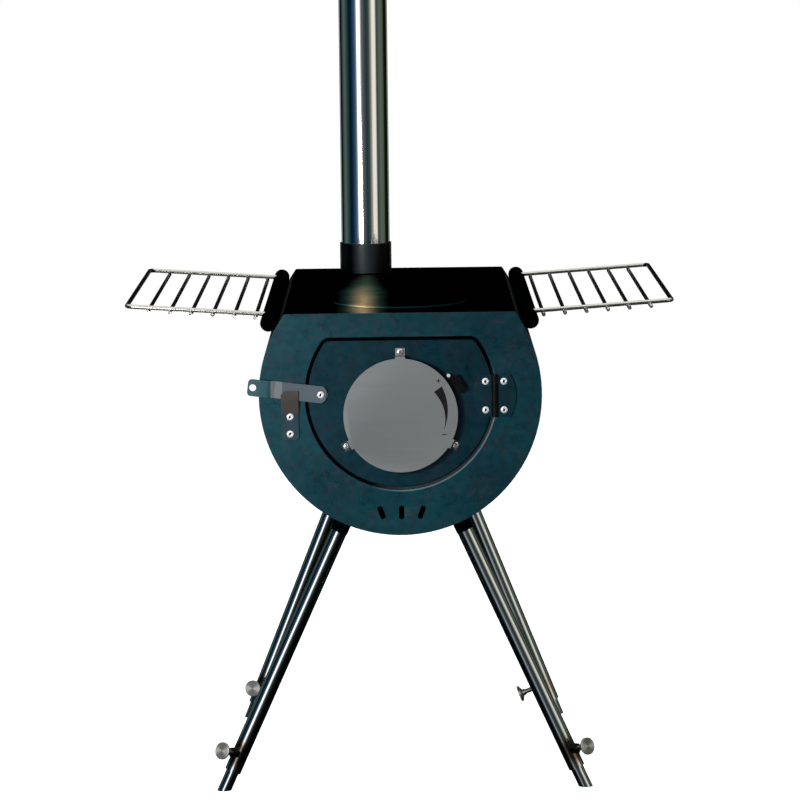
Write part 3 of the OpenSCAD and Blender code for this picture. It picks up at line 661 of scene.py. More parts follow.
# The door's enamel is the front plate's teal made darker, as painted shade; the hinge leaves share it.
DOOR = Enamel("door_enamel", base=(0.0001, 0.0095, 0.0155), light=(0.0004, 0.0185, 0.0275),
              fleck=(0.015, 0.010, 0.016), rough=0.33, fleck_amount=0.8, shine=0.2)
HINGE = replace(DOOR, name="hinge_enamel", rough=0.42, fleck_amount=0.4,
                marks=(Zone(Axis.X, 0.1031, 0.1099, (0.0008, 0.001, 0.0012)),))
BLACK = Enamel("black_enamel", base=(0.0003, 0.0005, 0.0006), light=(0.0006, 0.0009, 0.0010),
               fleck=grey(0.0008), rough=0.3, fleck_amount=0.3, shine=0.0)
# The stop ring is black as painted shade in the door gap, with a painted lit arc at its lower right.
STOP = replace(BLACK, name="stop_enamel",
               marks=(Rub(inner=0.1047, outer=0.1090, color=(0.024, 0.029, 0.037)),))
DRUM = Enamel("drum_enamel", base=(0.009, 0.0105, 0.011), light=(0.014, 0.016, 0.0165),
              fleck=(0.018, 0.018, 0.0185), rough=0.36, fleck_amount=0.5, shine=0.35)
# The collar's lighter band down its front, a zone across x, is a painted highlight.
GLOSSY = Enamel("collar_enamel", base=(0.0002, 0.0003, 0.0004), light=(0.0004, 0.0006, 0.0008),
                fleck=grey(0.001), rough=0.3, fleck_amount=0.3, shine=0.25,
                marks=(Zone(Axis.X, -0.0585, -0.0265, (0.038, 0.052, 0.055), 0.015),))
# Painted reflection: the bright pipe seen in the satin cooktop, laid on as a golden fan in front of the flue.
PAINTED_PIPE_REFLECTION = FlueStain((FLUE_X * MM, FRONT_Y + FLUE_Y * MM))
HOTPLATE = Enamel("heated_enamel", base=grey(0.0002), light=grey(0.0003), fleck=grey(0.0004), rough=0.4,
                  fleck_amount=0.3, shine=0.0, marks=(PAINTED_PIPE_REFLECTION,))
# The teal band on the lid's edge is a painted highlight.
LID_RIM_HIGHLIGHT = Zone(Axis.Z, AXIS_Z + TOP_Z * MM, AXIS_Z + (TOP_Z + LID_EDGE_H) * MM, (0.003, 0.018, 0.022))
LID = replace(HOTPLATE, name="lid_enamel", marks=(LID_RIM_HIGHLIGHT, PAINTED_PIPE_REFLECTION))
IRON = Steel("sooted_iron", (0.02, 0.019, 0.018), rough=0.6, contrast=0.3, dark=(0.005, 0.0045, 0.004),
             dark_amount=0.9, metallic=0.4)
DARK = Steel("heat_dark_steel", (0.03, 0.028, 0.026), rough=0.45, contrast=0.3, dark=(0.008, 0.007, 0.006),
             dark_amount=0.6)
# Painted shade: the cover's feet behind its disc and below its middle are darker, as they lie in shade.
COVER = PartPainted("brushed_cover", (0.18, 0.191, 0.192), rough=0.42, lines=(1, 1, 40), line_scale=16,
                    contrast=0.025, relief=0.000004, metallic=0.5, paint=(0.012, 0.022, 0.026),
                    across=Axis.Y, line=FRONT_Y - 0.0096, before=False, under=AXIS_Z + 0.01)
# Painted reflection: the finger tab beyond the line is teal like the surroundings it mirrors; the lighter
# strip next to it is a painted highlight on the bent part.
LEVER = PartPainted("lever_steel", (0.072, 0.092, 0.105), rough=0.4, lines=(1, 1, 12), line_scale=60,
                    contrast=0.06, relief=0.000006, metallic=0.4, paint=(0.012, 0.045, 0.055), line=-0.1462,
                    marks=(Zone(Axis.X, -0.1462, -0.1333, (0.148, 0.165, 0.182)),))
# Painted reflection: the keeper is dark teal below its bend, where it mirrors the dark surroundings.
KEEPER = replace(LEVER, name="keeper_steel", color=(0.042, 0.039, 0.033), rough=0.42, contrast=0.08,
                 paint=(0.004, 0.02, 0.029), across=Axis.Z, line=AXIS_Z - 0.0185, marks=())
ZINC = Steel("bright_zinc", (0.85, 0.85, 0.86), rough=0.24, contrast=0.06, metallic=0.6)
SCREW = Steel("screw_zinc", (0.75, 0.75, 0.76), rough=0.2, contrast=0.06, metallic=0.9)
PIPE = Steel("pipe_steel", (0.82, 0.82, 0.81), rough=0.07, lines=(14, 14, 0.15), line_scale=90,
             contrast=0.06, relief=0.00001, wave=0.0012)
# The wires between the front and back rails are near-black steel, a painted dark reflection.
WIRE = Steel("wire_steel", (0.62, 0.6, 0.55), rough=0.27, line_scale=120, contrast=0.05, relief=0.0,
             marks=(Zone(Axis.Y, FRONT_Y + 0.0525, FRONT_Y + 0.4935, (0.012, 0.015, 0.017), 0.0005),))
TUBE = Steel("leg_steel", (0.62, 0.63, 0.63), rough=0.09, lines=(20, 20, 1), line_scale=90, contrast=0.06,
             relief=0.000005)
# Painted shade: the tube plugs are near-black to stand for the dark hollow of the tube ends.
PLUG_SHADE = Plastic("soot", grey(0.0003), rough=0.8, shine=0.0)
GRIP = Plastic("black_grip", (0.002, 0.002, 0.0025), rough=0.6, shine=0.1)
INK = Plastic("black_ink", grey(0.003), rough=0.5, shine=0.2)


@cache
def finish_of(kind: Finish) -> Material:
    """The material of a finish, built once."""
    return kind.make()


@dataclass
class Assembly:
    """A group of pieces on the stove."""

    frame: dict

    def add(self, name: str, bm: Shape, finish: Finish, body: str, slot: str,
            replaces: tuple[str, ...] = (), soft: float = SOFT_ANGLE) -> bpy.types.Object:
        """Turns a bmesh into a piece.

        Args:
            name: the piece's name.
            bm: its shape, in the row frame, freed here.
            finish: what it is finished in.
            body: the body it rides on.
            slot: the record's material slot; not used.
            replaces: nodes that it stands for.
            soft: angle up to which its faces shade into each other.

        Returns:
            The new object.
        """
        mesh = meshed(name, bm)
        mesh.polygons.foreach_set("use_smooth", [True] * len(mesh.polygons))
        mesh.set_sharp_from_angle(angle=soft)
        piece = shown(name, mesh)
        mesh.materials.append(finish_of(finish))
        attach(piece, body)
        if replaces:
            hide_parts(*replaces)
        log.info("%s: %d faces", name, len(mesh.polygons))
        return piece

    def dress(self, node: str, finish: Finish, slot: str, edge: float, steps: int = 2,
              soft: float = SOFT_ANGLE) -> None:
        """Replaces a node by its own shape with broken edges.

        Args:
            node: the node's name.
            finish: what it is finished in.
            slot: the record's material slot; passed on to add(), which does not use it.
            edge: width of the broken edges in millimetres, or zero.
            steps: segments across an edge.
            soft: angle up to which its faces shade into each other.
        """
        bm = bmesh.new()
        bm.from_mesh(self.frame["nodes"][node].data)
        bmesh.ops.remove_doubles(bm, verts=bm.verts, dist=CAD_MERGE)
        bmesh.ops.dissolve_limit(bm, angle_limit=FLAT_ANGLE, verts=bm.verts, edges=bm.edges)
        if edge:
            sharp = [e for e in bm.edges if e.is_manifold and e.calc_face_angle(0) > SHARP_ANGLE]
            bmesh.ops.bevel(bm, geom=sharp, offset=edge * MM, offset_type="OFFSET", segments=steps,
                            profile=0.5, affect="EDGES", clamp_overlap=True, material=-1)
        body = self.frame["nodes"][node]["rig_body"]
        self.add(node + "_made", bm, finish, body, slot, (node,), soft)


def spun(profile: Outline, steps: int) -> Shape:
    """A closed solid of revolution about +Z.

    Args:
        profile: (radius, height) in millimetres, from the axis round to the axis, or a closed loop.
        steps: sides of the round.

    Returns:
        The shape, at the origin, in metres.
    """
    bm = bmesh.new()
    line = [bm.verts.new((r * MM, 0, h * MM)) for r, h in profile]
    edges = [bm.edges.new(pair) for pair in zip(line, line[1:])]
    bmesh.ops.spin(bm, geom=line + edges, cent=(0, 0, 0), axis=(0, 0, 1), angle=FULL_TURN, steps=steps,
                   use_merge=True)
    bmesh.ops.remove_doubles(bm, verts=bm.verts, dist=OWN_MERGE)
    bmesh.ops.recalc_face_normals(bm, faces=bm.faces)
    return bm


def placed(bm: Shape, point: Vector, direction: Vector) -> Shape:
    """Turns a shape's +Z to a direction and moves it to a point.

    Args:
        bm: the shape, changed here.
        point: where its origin goes, in metres.
        direction: where its +Z points.

    Returns:
        The same shape.
    """
    turn = direction.to_track_quat("Z", "Y").to_matrix().to_4x4()
    bmesh.ops.transform(bm, matrix=Matrix.Translation(point) @ turn, verts=bm.verts)
    return bm


def joined(parts: list[Shape]) -> Shape:
    """Puts several shapes into one.

    Args:
        parts: the shapes, freed here.

    Returns:
        The one shape.
    """
    whole = bmesh.new()
    for part in parts:
        mesh = meshed("part", part)
        whole.from_mesh(mesh)
        bpy.data.meshes.remove(mesh)
    return whole


def bent_wire(points: list[Vector], radius: float, closed: bool, sides: int) -> Shape:
    """A round wire along points.

    Args:
        points: its middle line in metres.
        radius: in millimetres.
        closed: whether it is a ring.
        sides: roundness of the wire.

    Returns:
        The shape in metres.
    """
    curve = bpy.data.curves.new("wire", "CURVE")
    curve.dimensions = "3D"
    curve.bevel_depth = radius * MM
    curve.bevel_resolution = sides
    curve.use_fill_caps = True
    spline = curve.splines.new("POLY")
    spline.points.add(len(points) - 1)
    for spot, point in zip(spline.points, points):
        spot.co = (*point, 1)
    spline.use_cyclic_u = closed
    holder = bpy.data.objects.new("wire", curve)
    mesh = bpy.data.meshes.new_from_object(holder)
    bm = bmesh.new()
    bm.from_mesh(mesh)
    bmesh.ops.remove_doubles(bm, verts=bm.verts, dist=OWN_MERGE)
    bmesh.ops.recalc_face_normals(bm, faces=bm.faces)
    bpy.data.meshes.remove(mesh)
    bpy.data.objects.remove(holder)
    bpy.data.curves.remove(curve)
    return bm


def carve(target: bpy.types.Object, tool: Shape) -> None:
    """Cuts a shape out of a piece.

    Args:
        target: the piece to cut.
        tool: the shape to take away, freed here.
    """
    bmesh.ops.recalc_face_normals(tool, faces=tool.faces)
    mesh = meshed("tool", tool)
    cutter = shown("tool", mesh)
    cut = target.modifiers.new("cut", "BOOLEAN")
    cut.operation = "DIFFERENCE"
    cut.solver = "EXACT"
    cut.object = cutter
    bpy.context.view_layer.update()
    done = bpy.data.meshes.new_from_object(target.evaluated_get(bpy.context.evaluated_depsgraph_get()))
    target.modifiers.remove(cut)
    old, name = target.data, target.data.name
    target.data = done
    bpy.data.meshes.remove(old)
    done.name = name
    bpy.data.objects.remove(cutter)
    bpy.data.meshes.remove(mesh)


@dataclass
class Firebox(Assembly):
    """The fixed drum with its top, plates, collar, grate and side tubes."""

    painted: tuple[tuple[str, Enamel], ...] = (
        ("drum_shell", DRUM), ("back_plate", DRUM), ("side_tube_left", BLACK), ("side_tube_right", BLACK),
        ("door_stop_ring", STOP), ("cooktop", HOTPLATE), ("flue_collar", GLOSSY))
    iron: tuple[str, ...] = ("fire_grate", "grate_rail_left", "grate_rail_right")
    ring_r: float = 32.4
    ring_ripple: float = 0.12
    ring_ripples: int = 40
    ring_steps: int = 160
    ring_lift: float = 0.3
    ring_bead: float = 1.3
    tube_x: float = 147.676
    tube_z: float = 83.3
    weld_starts: tuple[float, ...] = (40, 150, 270, 390, 520)
    weld_spots: int = 9
    weld_step: float = 2.5
    weld_aside: float = 2.2
    weld_bead: float = 1.5

    def build(self) -> None:
        """Builds and dresses the firebox."""
        self.dress("front_plate", FRAME, "teal_paint", PLATE_EDGE, steps=3)
        for node, finish in self.painted:
            self.dress(node, finish, "black_paint", PAINTED_EDGE)
        # The plugs are black as painted shade for the hollow tube ends.
        for side in Side:
            self.dress(f"tube_plugs_{side.word}", PLUG_SHADE, "bare_iron", THIN_EDGE)
        for node in self.iron:
            self.dress(node, IRON, "bare_iron", THIN_EDGE)
        self.collar_weld()
        for side in Side:
            self.tube_weld(side)

    def collar_weld(self) -> None:
        """Lays the rippled weld round the collar's foot."""
        points = []
        for i in range(self.ring_steps):
            a = FULL_TURN * i / self.ring_steps
            r = self.ring_r + self.ring_ripple * math.sin(a * self.ring_ripples)
            points.append(at(FLUE_X + r * math.cos(a), FLUE_Y + r * math.sin(a), TOP_Z + self.ring_lift))
        ring = bent_wire(points, self.ring_bead, closed=True, sides=4)
        self.add("collar_weld", ring, BLACK, "body", "black_paint")

    def tube_weld(self, side: Side) -> None:
        """Lays short welds where a side tube touches the drum.

        Args:
            side: the tube's side.
        """
        tube = Vector((side.value * self.tube_x, 0, self.tube_z))
        touch = tube * (DRUM_R / tube.length)
        welds = []
        for start in self.weld_starts:
            points = [at(touch.x + side.value * self.weld_aside, start + spot * self.weld_step,
                         touch.z - self.weld_aside) for spot in range(self.weld_spots)]
            welds.append(bent_wire(points, self.weld_bead, closed=False, sides=3))
        self.add(f"tube_weld_{side.word}", joined(welds), BLACK, "body", "black_paint")


@dataclass(frozen=True)
class Rivet:
    """A blind rivet's place: its middle, the faces under its head and its tail, and the tail's height."""

    x: float
    z: float
    face: float = -2
    back: float = 3
    tail: float = 2

    @property
    def seat(self) -> Vector:
        """The point under the middle of its head."""
        return at(self.x, self.face, self.z)


@dataclass
class Rivets(Assembly):
    """The stove's blind rivets, each with a domed head and a broken-off mandrel in its eye."""

    head: Outline = ((2, 0.02), (3.98, 0.02), (3.98, 0.4), (3.75, 0.75), (3.2, 1.1), (2.5, 1.38),
                     (1.95, 1.49), (1.55, 1.4), (1.42, 1.1), (1.4, 0.3), (0, 0.3))
    eye: Outline = ((0, 0.31), (1.39, 0.31), (1.39, 0.4), (0.95, 0.42), (0.7, 0.62), (0.35, 0.78), (0, 0.8))
    head_steps: int = 40
    eye_steps: int = 32
    shank_r: float = 1.98
    tail_r: float = 3.2
    tail_flat_r: float = 3.0
    tail_round: float = 0.3
    hinge_x: float = 106.5
    hinge_z: float = -1.4
    hinge_half_h: float = 16.2
    leaf_half_w: float = 10.4
    plate_back: float = 2.7
    keeper_x: float = -125
    keeper_heights: tuple[float, ...] = (-23, -42.4)
    latch: Rivet = Rivet(-90, 1.9, face=-3.5, back=2.7)

    def shape(self, rivet: Rivet) -> Shape:
        """One rivet without the mandrel in its eye.

        Args:
            rivet: its place.

        Returns:
            The shape.
        """
        foot = rivet.face - rivet.back
        end = [(0, foot), (self.shank_r, foot)]
        if rivet.tail:
            tip = foot - rivet.tail
            end = [(0, tip), (self.tail_flat_r, tip), (self.tail_r, tip + self.tail_round),
                   (self.tail_r, foot), (self.shank_r, foot)]
        return placed(spun((*end, *self.head), self.head_steps), rivet.seat, AHEAD)

    def groups(self) -> dict[str, tuple[str, list[Rivet]]]:
        """Places the rivets.

        Returns:
            The body and the rivets of each node.
        """
        heights = [self.hinge_z - self.hinge_half_h, self.hinge_z + self.hinge_half_h]
        frame_x, door_x = self.hinge_x + self.leaf_half_w, self.hinge_x - self.leaf_half_w
        return {
            "keeper_rivets": ("body", [Rivet(self.keeper_x, z) for z in self.keeper_heights]),
            "hinge_frame_rivets": ("body", [Rivet(frame_x, z) for z in heights]),
            "hinge_door_rivets": ("door", [Rivet(door_x, z, back=self.plate_back, tail=0) for z in heights]),
            "latch_rivet": ("door", [self.latch]),
        }

    def build(self) -> None:
        """Builds all rivets."""
        for node, (body, rivets) in self.groups().items():
            heads = [self.shape(rivet) for rivet in rivets]
            self.add(node + "_made", joined(heads), ZINC, body, "rivet_steel", (node,))
            eyes = [placed(spun(self.eye, self.eye_steps), rivet.seat, AHEAD) for rivet in rivets]
            self.add(node + "_eyes", joined(eyes), DARK, body, "rivet_steel")


@dataclass
class Door(Assembly):
    """The door with its hinge, heat shield, damper and cover."""

    cover_drop: float = 21.8
    cover_face: float = -11.5
    screw_circle: float = 71.15
    screw_angles: tuple[float, ...] = (90, 210, 330)
    screw_seat: float = -1.5
    screw_steps: int = 40
    screw: Outline = ((0, -22.9), (2.2, -22.9), (2.48, -22.5), (2.48, 0.02), (3.98, 0.02), (3.98, 0.7),
                      (3.7, 1.5), (3.0, 2.15), (1.9, 2.5), (0, 2.58))
    slot_depth: float = -3.6
    slot_bar: Place = (4.4, 2.4, 0.9)
    slot_turn: float = 20
    slot_turn_step: float = 31
    wedge_from: float = 35
    wedge_sweep: float = 54
    wedge_r: float = 51.5
    wedge_half: float = 5.4
    wedge_tip: float = 0.12
    wedge_taper: float = 1.35
    wedge_steps: int = 40
    plus_at: Range = (43, 39)
    minus_at: Range = (49, -22)
    sign_half: float = 2.6
    stroke_half: float = 0.5
    ink_sunk: float = 0.01
    ink_thick: float = 0.03
    ink_lift: float = 0.004

    def build(self) -> None:
        """Builds and dresses the door."""
        self.dress("door_plate", DOOR, "teal_paint", PLATE_EDGE, steps=3)
        self.dress("hinge_door_leaf", HINGE, "teal_paint", STEEL_EDGE)
        self.dress("hinge_frame_leaf", HINGE, "teal_paint", STEEL_EDGE)
        self.dress("hinge_pin", DARK, "dark_steel", STEEL_EDGE)
        self.dress("heat_shield", IRON, "bare_iron", THIN_EDGE)
        self.dress("shield_spacers", IRON, "bare_iron", THIN_EDGE)
        self.dress("shield_nuts", ZINC, "rivet_steel", STEEL_EDGE)
        self.dress("damper_pivot", ZINC, "rivet_steel", STEEL_EDGE)
        self.dress("damper_cover", COVER, "brushed_cover", THIN_EDGE)
        self.dress("damper_rotor", DARK, "dark_steel", THIN_EDGE)
        self.dress("damper_stop_pin", ZINC, "rivet_steel", PAINTED_EDGE)
        self.cover_screws()
        self.air_scale()
        self.dress("damper_grip", GRIP, "black_grip", MIDDLE_EDGE, steps=3)

    def on_screw(self, angle: float, y: float) -> Vector:
        """A point on the axis of one of the cover's screws.

        Args:
            angle: the screw's place round the cover in degrees, from the right.
            y: millimetres behind the front face.

        Returns:
            The point in metres.
        """
        a = math.radians(angle)
        return at(self.screw_circle * math.cos(a), y, self.screw_circle * math.sin(a) - self.cover_drop)

    def cover_screws(self) -> None:
        """Pan-head screws with a cross recess."""
        screws = [placed(spun(self.screw, self.screw_steps), self.on_screw(angle, self.screw_seat), AHEAD)
                  for angle in self.screw_angles]
        whole = self.add("cover_screws_made", joined(screws), SCREW, "door", "rivet_steel",
                         ("cover_screws",))
        for number, angle in enumerate(self.screw_angles):
            first = self.slot_turn + self.slot_turn_step * number
            for turn in (first, first + 90):
                bar = bmesh.new()
                bmesh.ops.create_cube(bar, size=1)
                bmesh.ops.scale(bar, vec=Vector(self.slot_bar) * MM, verts=bar.verts)
                bmesh.ops.rotate(bar, matrix=Matrix.Rotation(math.radians(turn), 3, "Y"), verts=bar.verts)
                bmesh.ops.translate(bar, vec=self.on_screw(angle, self.slot_depth), verts=bar.verts)
                carve(whole, bar)

    def wedge(self) -> list[Range]:
        """The air scale's wedge, which tapers along an arc round the cover's middle.

        Returns:
            Its outline, in millimetres from the cover's middle.
        """
        outer, inner = [], []
        for i in range(self.wedge_steps + 1):
            t = i / self.wedge_steps
            a = math.radians(self.wedge_from - self.wedge_sweep * t)
            half = self.wedge_half * (1 - t) ** self.wedge_taper + self.wedge_tip
            for points, r in ((outer, self.wedge_r + half), (inner, self.wedge_r - half)):
                points.append((math.cos(a) * r, math.sin(a) * r))
        return outer + inner[::-1]

    def stroke(self, middle: Range, half_w: float, half_h: float) -> list[Range]:
        """The outline of one stroke of a sign.

        Args:
            middle: its middle, in millimetres from the cover's middle.
            half_w: half its width.
            half_h: half its height.

        Returns:
            The corners in order.
        """
        corners = ((-1, -1), (1, -1), (1, 1), (-1, 1))
        return [(middle[0] + half_w * east, middle[1] + half_h * up) for east, up in corners]

    def printed(self, outline: list[Range], lift: float) -> Shape:
        """A flat mark on the cover.

        Args:
            outline: its corners, in millimetres from the cover's middle.
            lift: how far it stands in front of the other ink, so that marks may cross.

        Returns:
            The shape.
        """
        bm = bmesh.new()
        back = self.cover_face + self.ink_sunk - lift
        ring = [bm.verts.new(at(x, back, z - self.cover_drop)) for x, z in outline]
        made = bmesh.ops.extrude_face_region(bm, geom=[bm.faces.new(ring)])["geom"]
        front = [v for v in made if isinstance(v, bmesh.types.BMVert)]
        bmesh.ops.translate(bm, vec=AHEAD * self.ink_thick * MM, verts=front)
        bmesh.ops.recalc_face_normals(bm, faces=bm.faces)
        return bm

    def air_scale(self) -> None:
        """The wedge-shaped air scale, with a plus for more air and a minus for less."""
        wide, thin, lift = self.sign_half, self.stroke_half, self.ink_lift
        marks = [(self.wedge(), 0), (self.stroke(self.plus_at, wide, thin), 0),
                 (self.stroke(self.plus_at, thin, wide), lift),
                 (self.stroke(self.minus_at, wide, thin), lift)]
        self.add("air_scale", joined([self.printed(*mark) for mark in marks]), INK, "door", "black_grip")


@dataclass
class Latch(Assembly):
    """The latch lever, its washer and the keeper."""

    def build(self) -> None:
        """Dresses the latch."""
        self.dress("latch_lever", LEVER, "latch_steel", STEEL_EDGE)
        self.dress("latch_washer", LEVER, "latch_steel", WASHER_EDGE)
        self.dress("latch_keeper", KEEPER, "latch_steel", STEEL_EDGE)


@dataclass
class Hob(Assembly):
    """The hob lid and the stove pipe."""

    steps: int = 128
    lid_y: float = 125
    lid_r: float = 76
    lid_h: float = 2.2
    flat_r: float = 60
    rim_w: float = 1.6
    rim_round: float = 0.6
    rim_slope: float = 0.3
    rim_h: float = 1.2
    foot_round: float = 0.5
    spigot_r: float = 65.7
    spigot_in_r: float = 63.7
    spigot_h: float = 6
    spigot_round: float = 0.4
    pipe_r: float = 30
    pipe_wall: float = 0.8
    pipe_h: float = 445
    pipe_lip: float = 0.4
    pipe_foot: Range = (0.2, 0.3)
    socket_r: float = 31.3
    socket_h: float = 45
    socket_lip: float = 0.25
    flare: float = 3.9

    def lid(self) -> Outline:
        """The lid, with the spigot that holds it in the hob hole.

        Returns:
            Its profile from the cooktop up.
        """
        r, h, soft = self.lid_r, self.lid_h, self.spigot_round
        outer, inner, foot = self.spigot_r, self.spigot_in_r, -self.spigot_h
        return ((0, h), (self.flat_r, h), (r - self.rim_w, h), (r - self.rim_round, h - self.rim_slope),
                (r, self.rim_h), (r, self.foot_round), (r - self.foot_round, 0), (outer, 0),
                (outer, foot + soft), (outer - soft, foot), (inner + soft, foot), (inner, foot + soft),
                (inner, 0), (0, 0))

    def pipe(self) -> Outline:
        """The pipe, widened at its upper end for the next section.

        Returns:
            Its profile as a closed loop.
        """
        r, lip, top, socket = self.pipe_r, self.pipe_lip, self.pipe_h, self.pipe_h - self.socket_h
        inner, socket_inner = r - self.pipe_wall, self.socket_r - self.pipe_wall
        inside, outside = self.pipe_foot
        return ((inner, inside), (inner + lip, 0), (r, outside), (r, socket - self.flare),
                (self.socket_r, socket), (self.socket_r, top - lip), (self.socket_r - self.socket_lip, top),
                (socket_inner + self.socket_lip, top), (socket_inner, top - lip), (socket_inner, socket),
                (inner, socket - self.flare), (inner, inside))

    def build(self) -> None:
        """Builds the lid and the pipe."""
        lid = placed(spun(self.lid(), self.steps), at(0, self.lid_y, TOP_Z), UP)
        self.add("hob_lid_made", lid, LID, "hob_lid", "black_paint", ("hob_lid",))
        pipe = placed(spun(self.pipe(), self.steps), at(FLUE_X, FLUE_Y, TOP_Z), UP)
        self.add("stove_pipe_made", pipe, PIPE, "stove_pipe", "polished_steel", ("stove_pipe",))


@dataclass
class Rack(Assembly):
    """A folding wire rack."""

    side: Side

    def build(self) -> None:
        """Dresses the rack and its rod."""
        self.dress(f"rack_{self.side.word}", WIRE, "wire_steel", edge=0, soft=ROUND_ANGLE)
        self.dress(f"rack_rod_{self.side.word}", WIRE, "wire_steel", STEEL_EDGE)


@dataclass(frozen=True)
class Stance:
    """How the legs of a row stand: lean in degrees, depth and height of their start, way to the screw."""

    lean: float
    depth: float
    rise: float
    screw_along: float


@dataclass
class Leg(Assembly):
    """A telescopic leg with its thumb screw, which points forward or is turned aside by some degrees."""

    row: Row
    side: Side
    stance: Stance
    screw_turn: float
    weld_out: float = 10
    screw_steps: int = 64
    screw: Outline = ((0, 7.8), (2.6, 7.8), (3, 8.3), (3, 26), (3.8, 26), (4, 26.2), (4, 28.6), (4.6, 29.5),
                      (8.9, 31.5), (9.7, 31.95), (10, 32.4), (10, 33.9), (9.8, 34.5), (9.2, 34.9), (8.6, 35),
                      (8.2, 34.85), (1.2, 34.85), (0.9, 34.5), (0, 34.45))

    def screw_frame(self) -> tuple[Vector, Vector]:
        """Works out how the screw stands.

        Returns:
            Where its axis starts on the leg, and its direction.
        """
        lean, turn = math.radians(self.stance.lean), math.radians(self.screw_turn)
        along, out = self.stance.screw_along, self.side.value
        start = at(out * math.sin(lean) * along, self.stance.depth, self.stance.rise - math.cos(lean) * along)
        aside = math.sin(turn)
        return start, Vector((out * aside * math.cos(lean), -math.cos(turn), aside * math.sin(lean)))

    def build(self) -> None:
        """Builds and dresses the leg."""
        word = f"{self.row.value}_{self.side.word}"
        start, out = self.screw_frame()
        tint = WeldTint(rounded(start + out * self.weld_out * MM))
        tinted = replace(TUBE, name=f"tinted_{word}", marks=(tint,))
        turned = TurnedSteel(f"turned_{word}", (0.62, 0.6, 0.56), rough=0.3, contrast=0.06, metallic=0.5,
                             centre=rounded(start), axis=rounded(out))
        self.dress(f"leg_stub_{word}", BLACK, "black_paint", STEEL_EDGE)
        self.dress(f"leg_tube_{word}", tinted, "polished_steel", STEEL_EDGE)
        self.dress(f"leg_slider_{word}", TUBE, "polished_steel", THIN_EDGE)
        self.dress(f"leg_nut_{word}", DARK, "dark_steel", MIDDLE_EDGE)
        screw = placed(spun(self.screw, self.screw_steps), start, out)
        self.add(f"leg_screw_{word}_made", screw, turned, f"screw_{word}", "knob_steel",
                 (f"leg_screw_{word}",))


@dataclass(frozen=True)
class Lamp:
    """A soft round lamp: where it stands, what it looks at, its width in metres and its power in watts."""

    name: str
    place: Place
    aim: Place
    size: float
    power: float
    mirrored: bool = False

    def light(self) -> None:
        """Sets up the lamp; shiny pieces show it only if it is mirrored."""
        data = bpy.data.lights.new(self.name, "AREA")
        data.shape = "DISK"
        data.size = self.size
        data.energy = self.power
        holder = shown(self.name, data)
        look = (Vector(self.aim) - Vector(self.place)).to_track_quat("-Z", "Y")
        holder.matrix_world = Matrix.Translation(self.place) @ look.to_matrix().to_4x4()
        holder.visible_glossy = self.mirrored


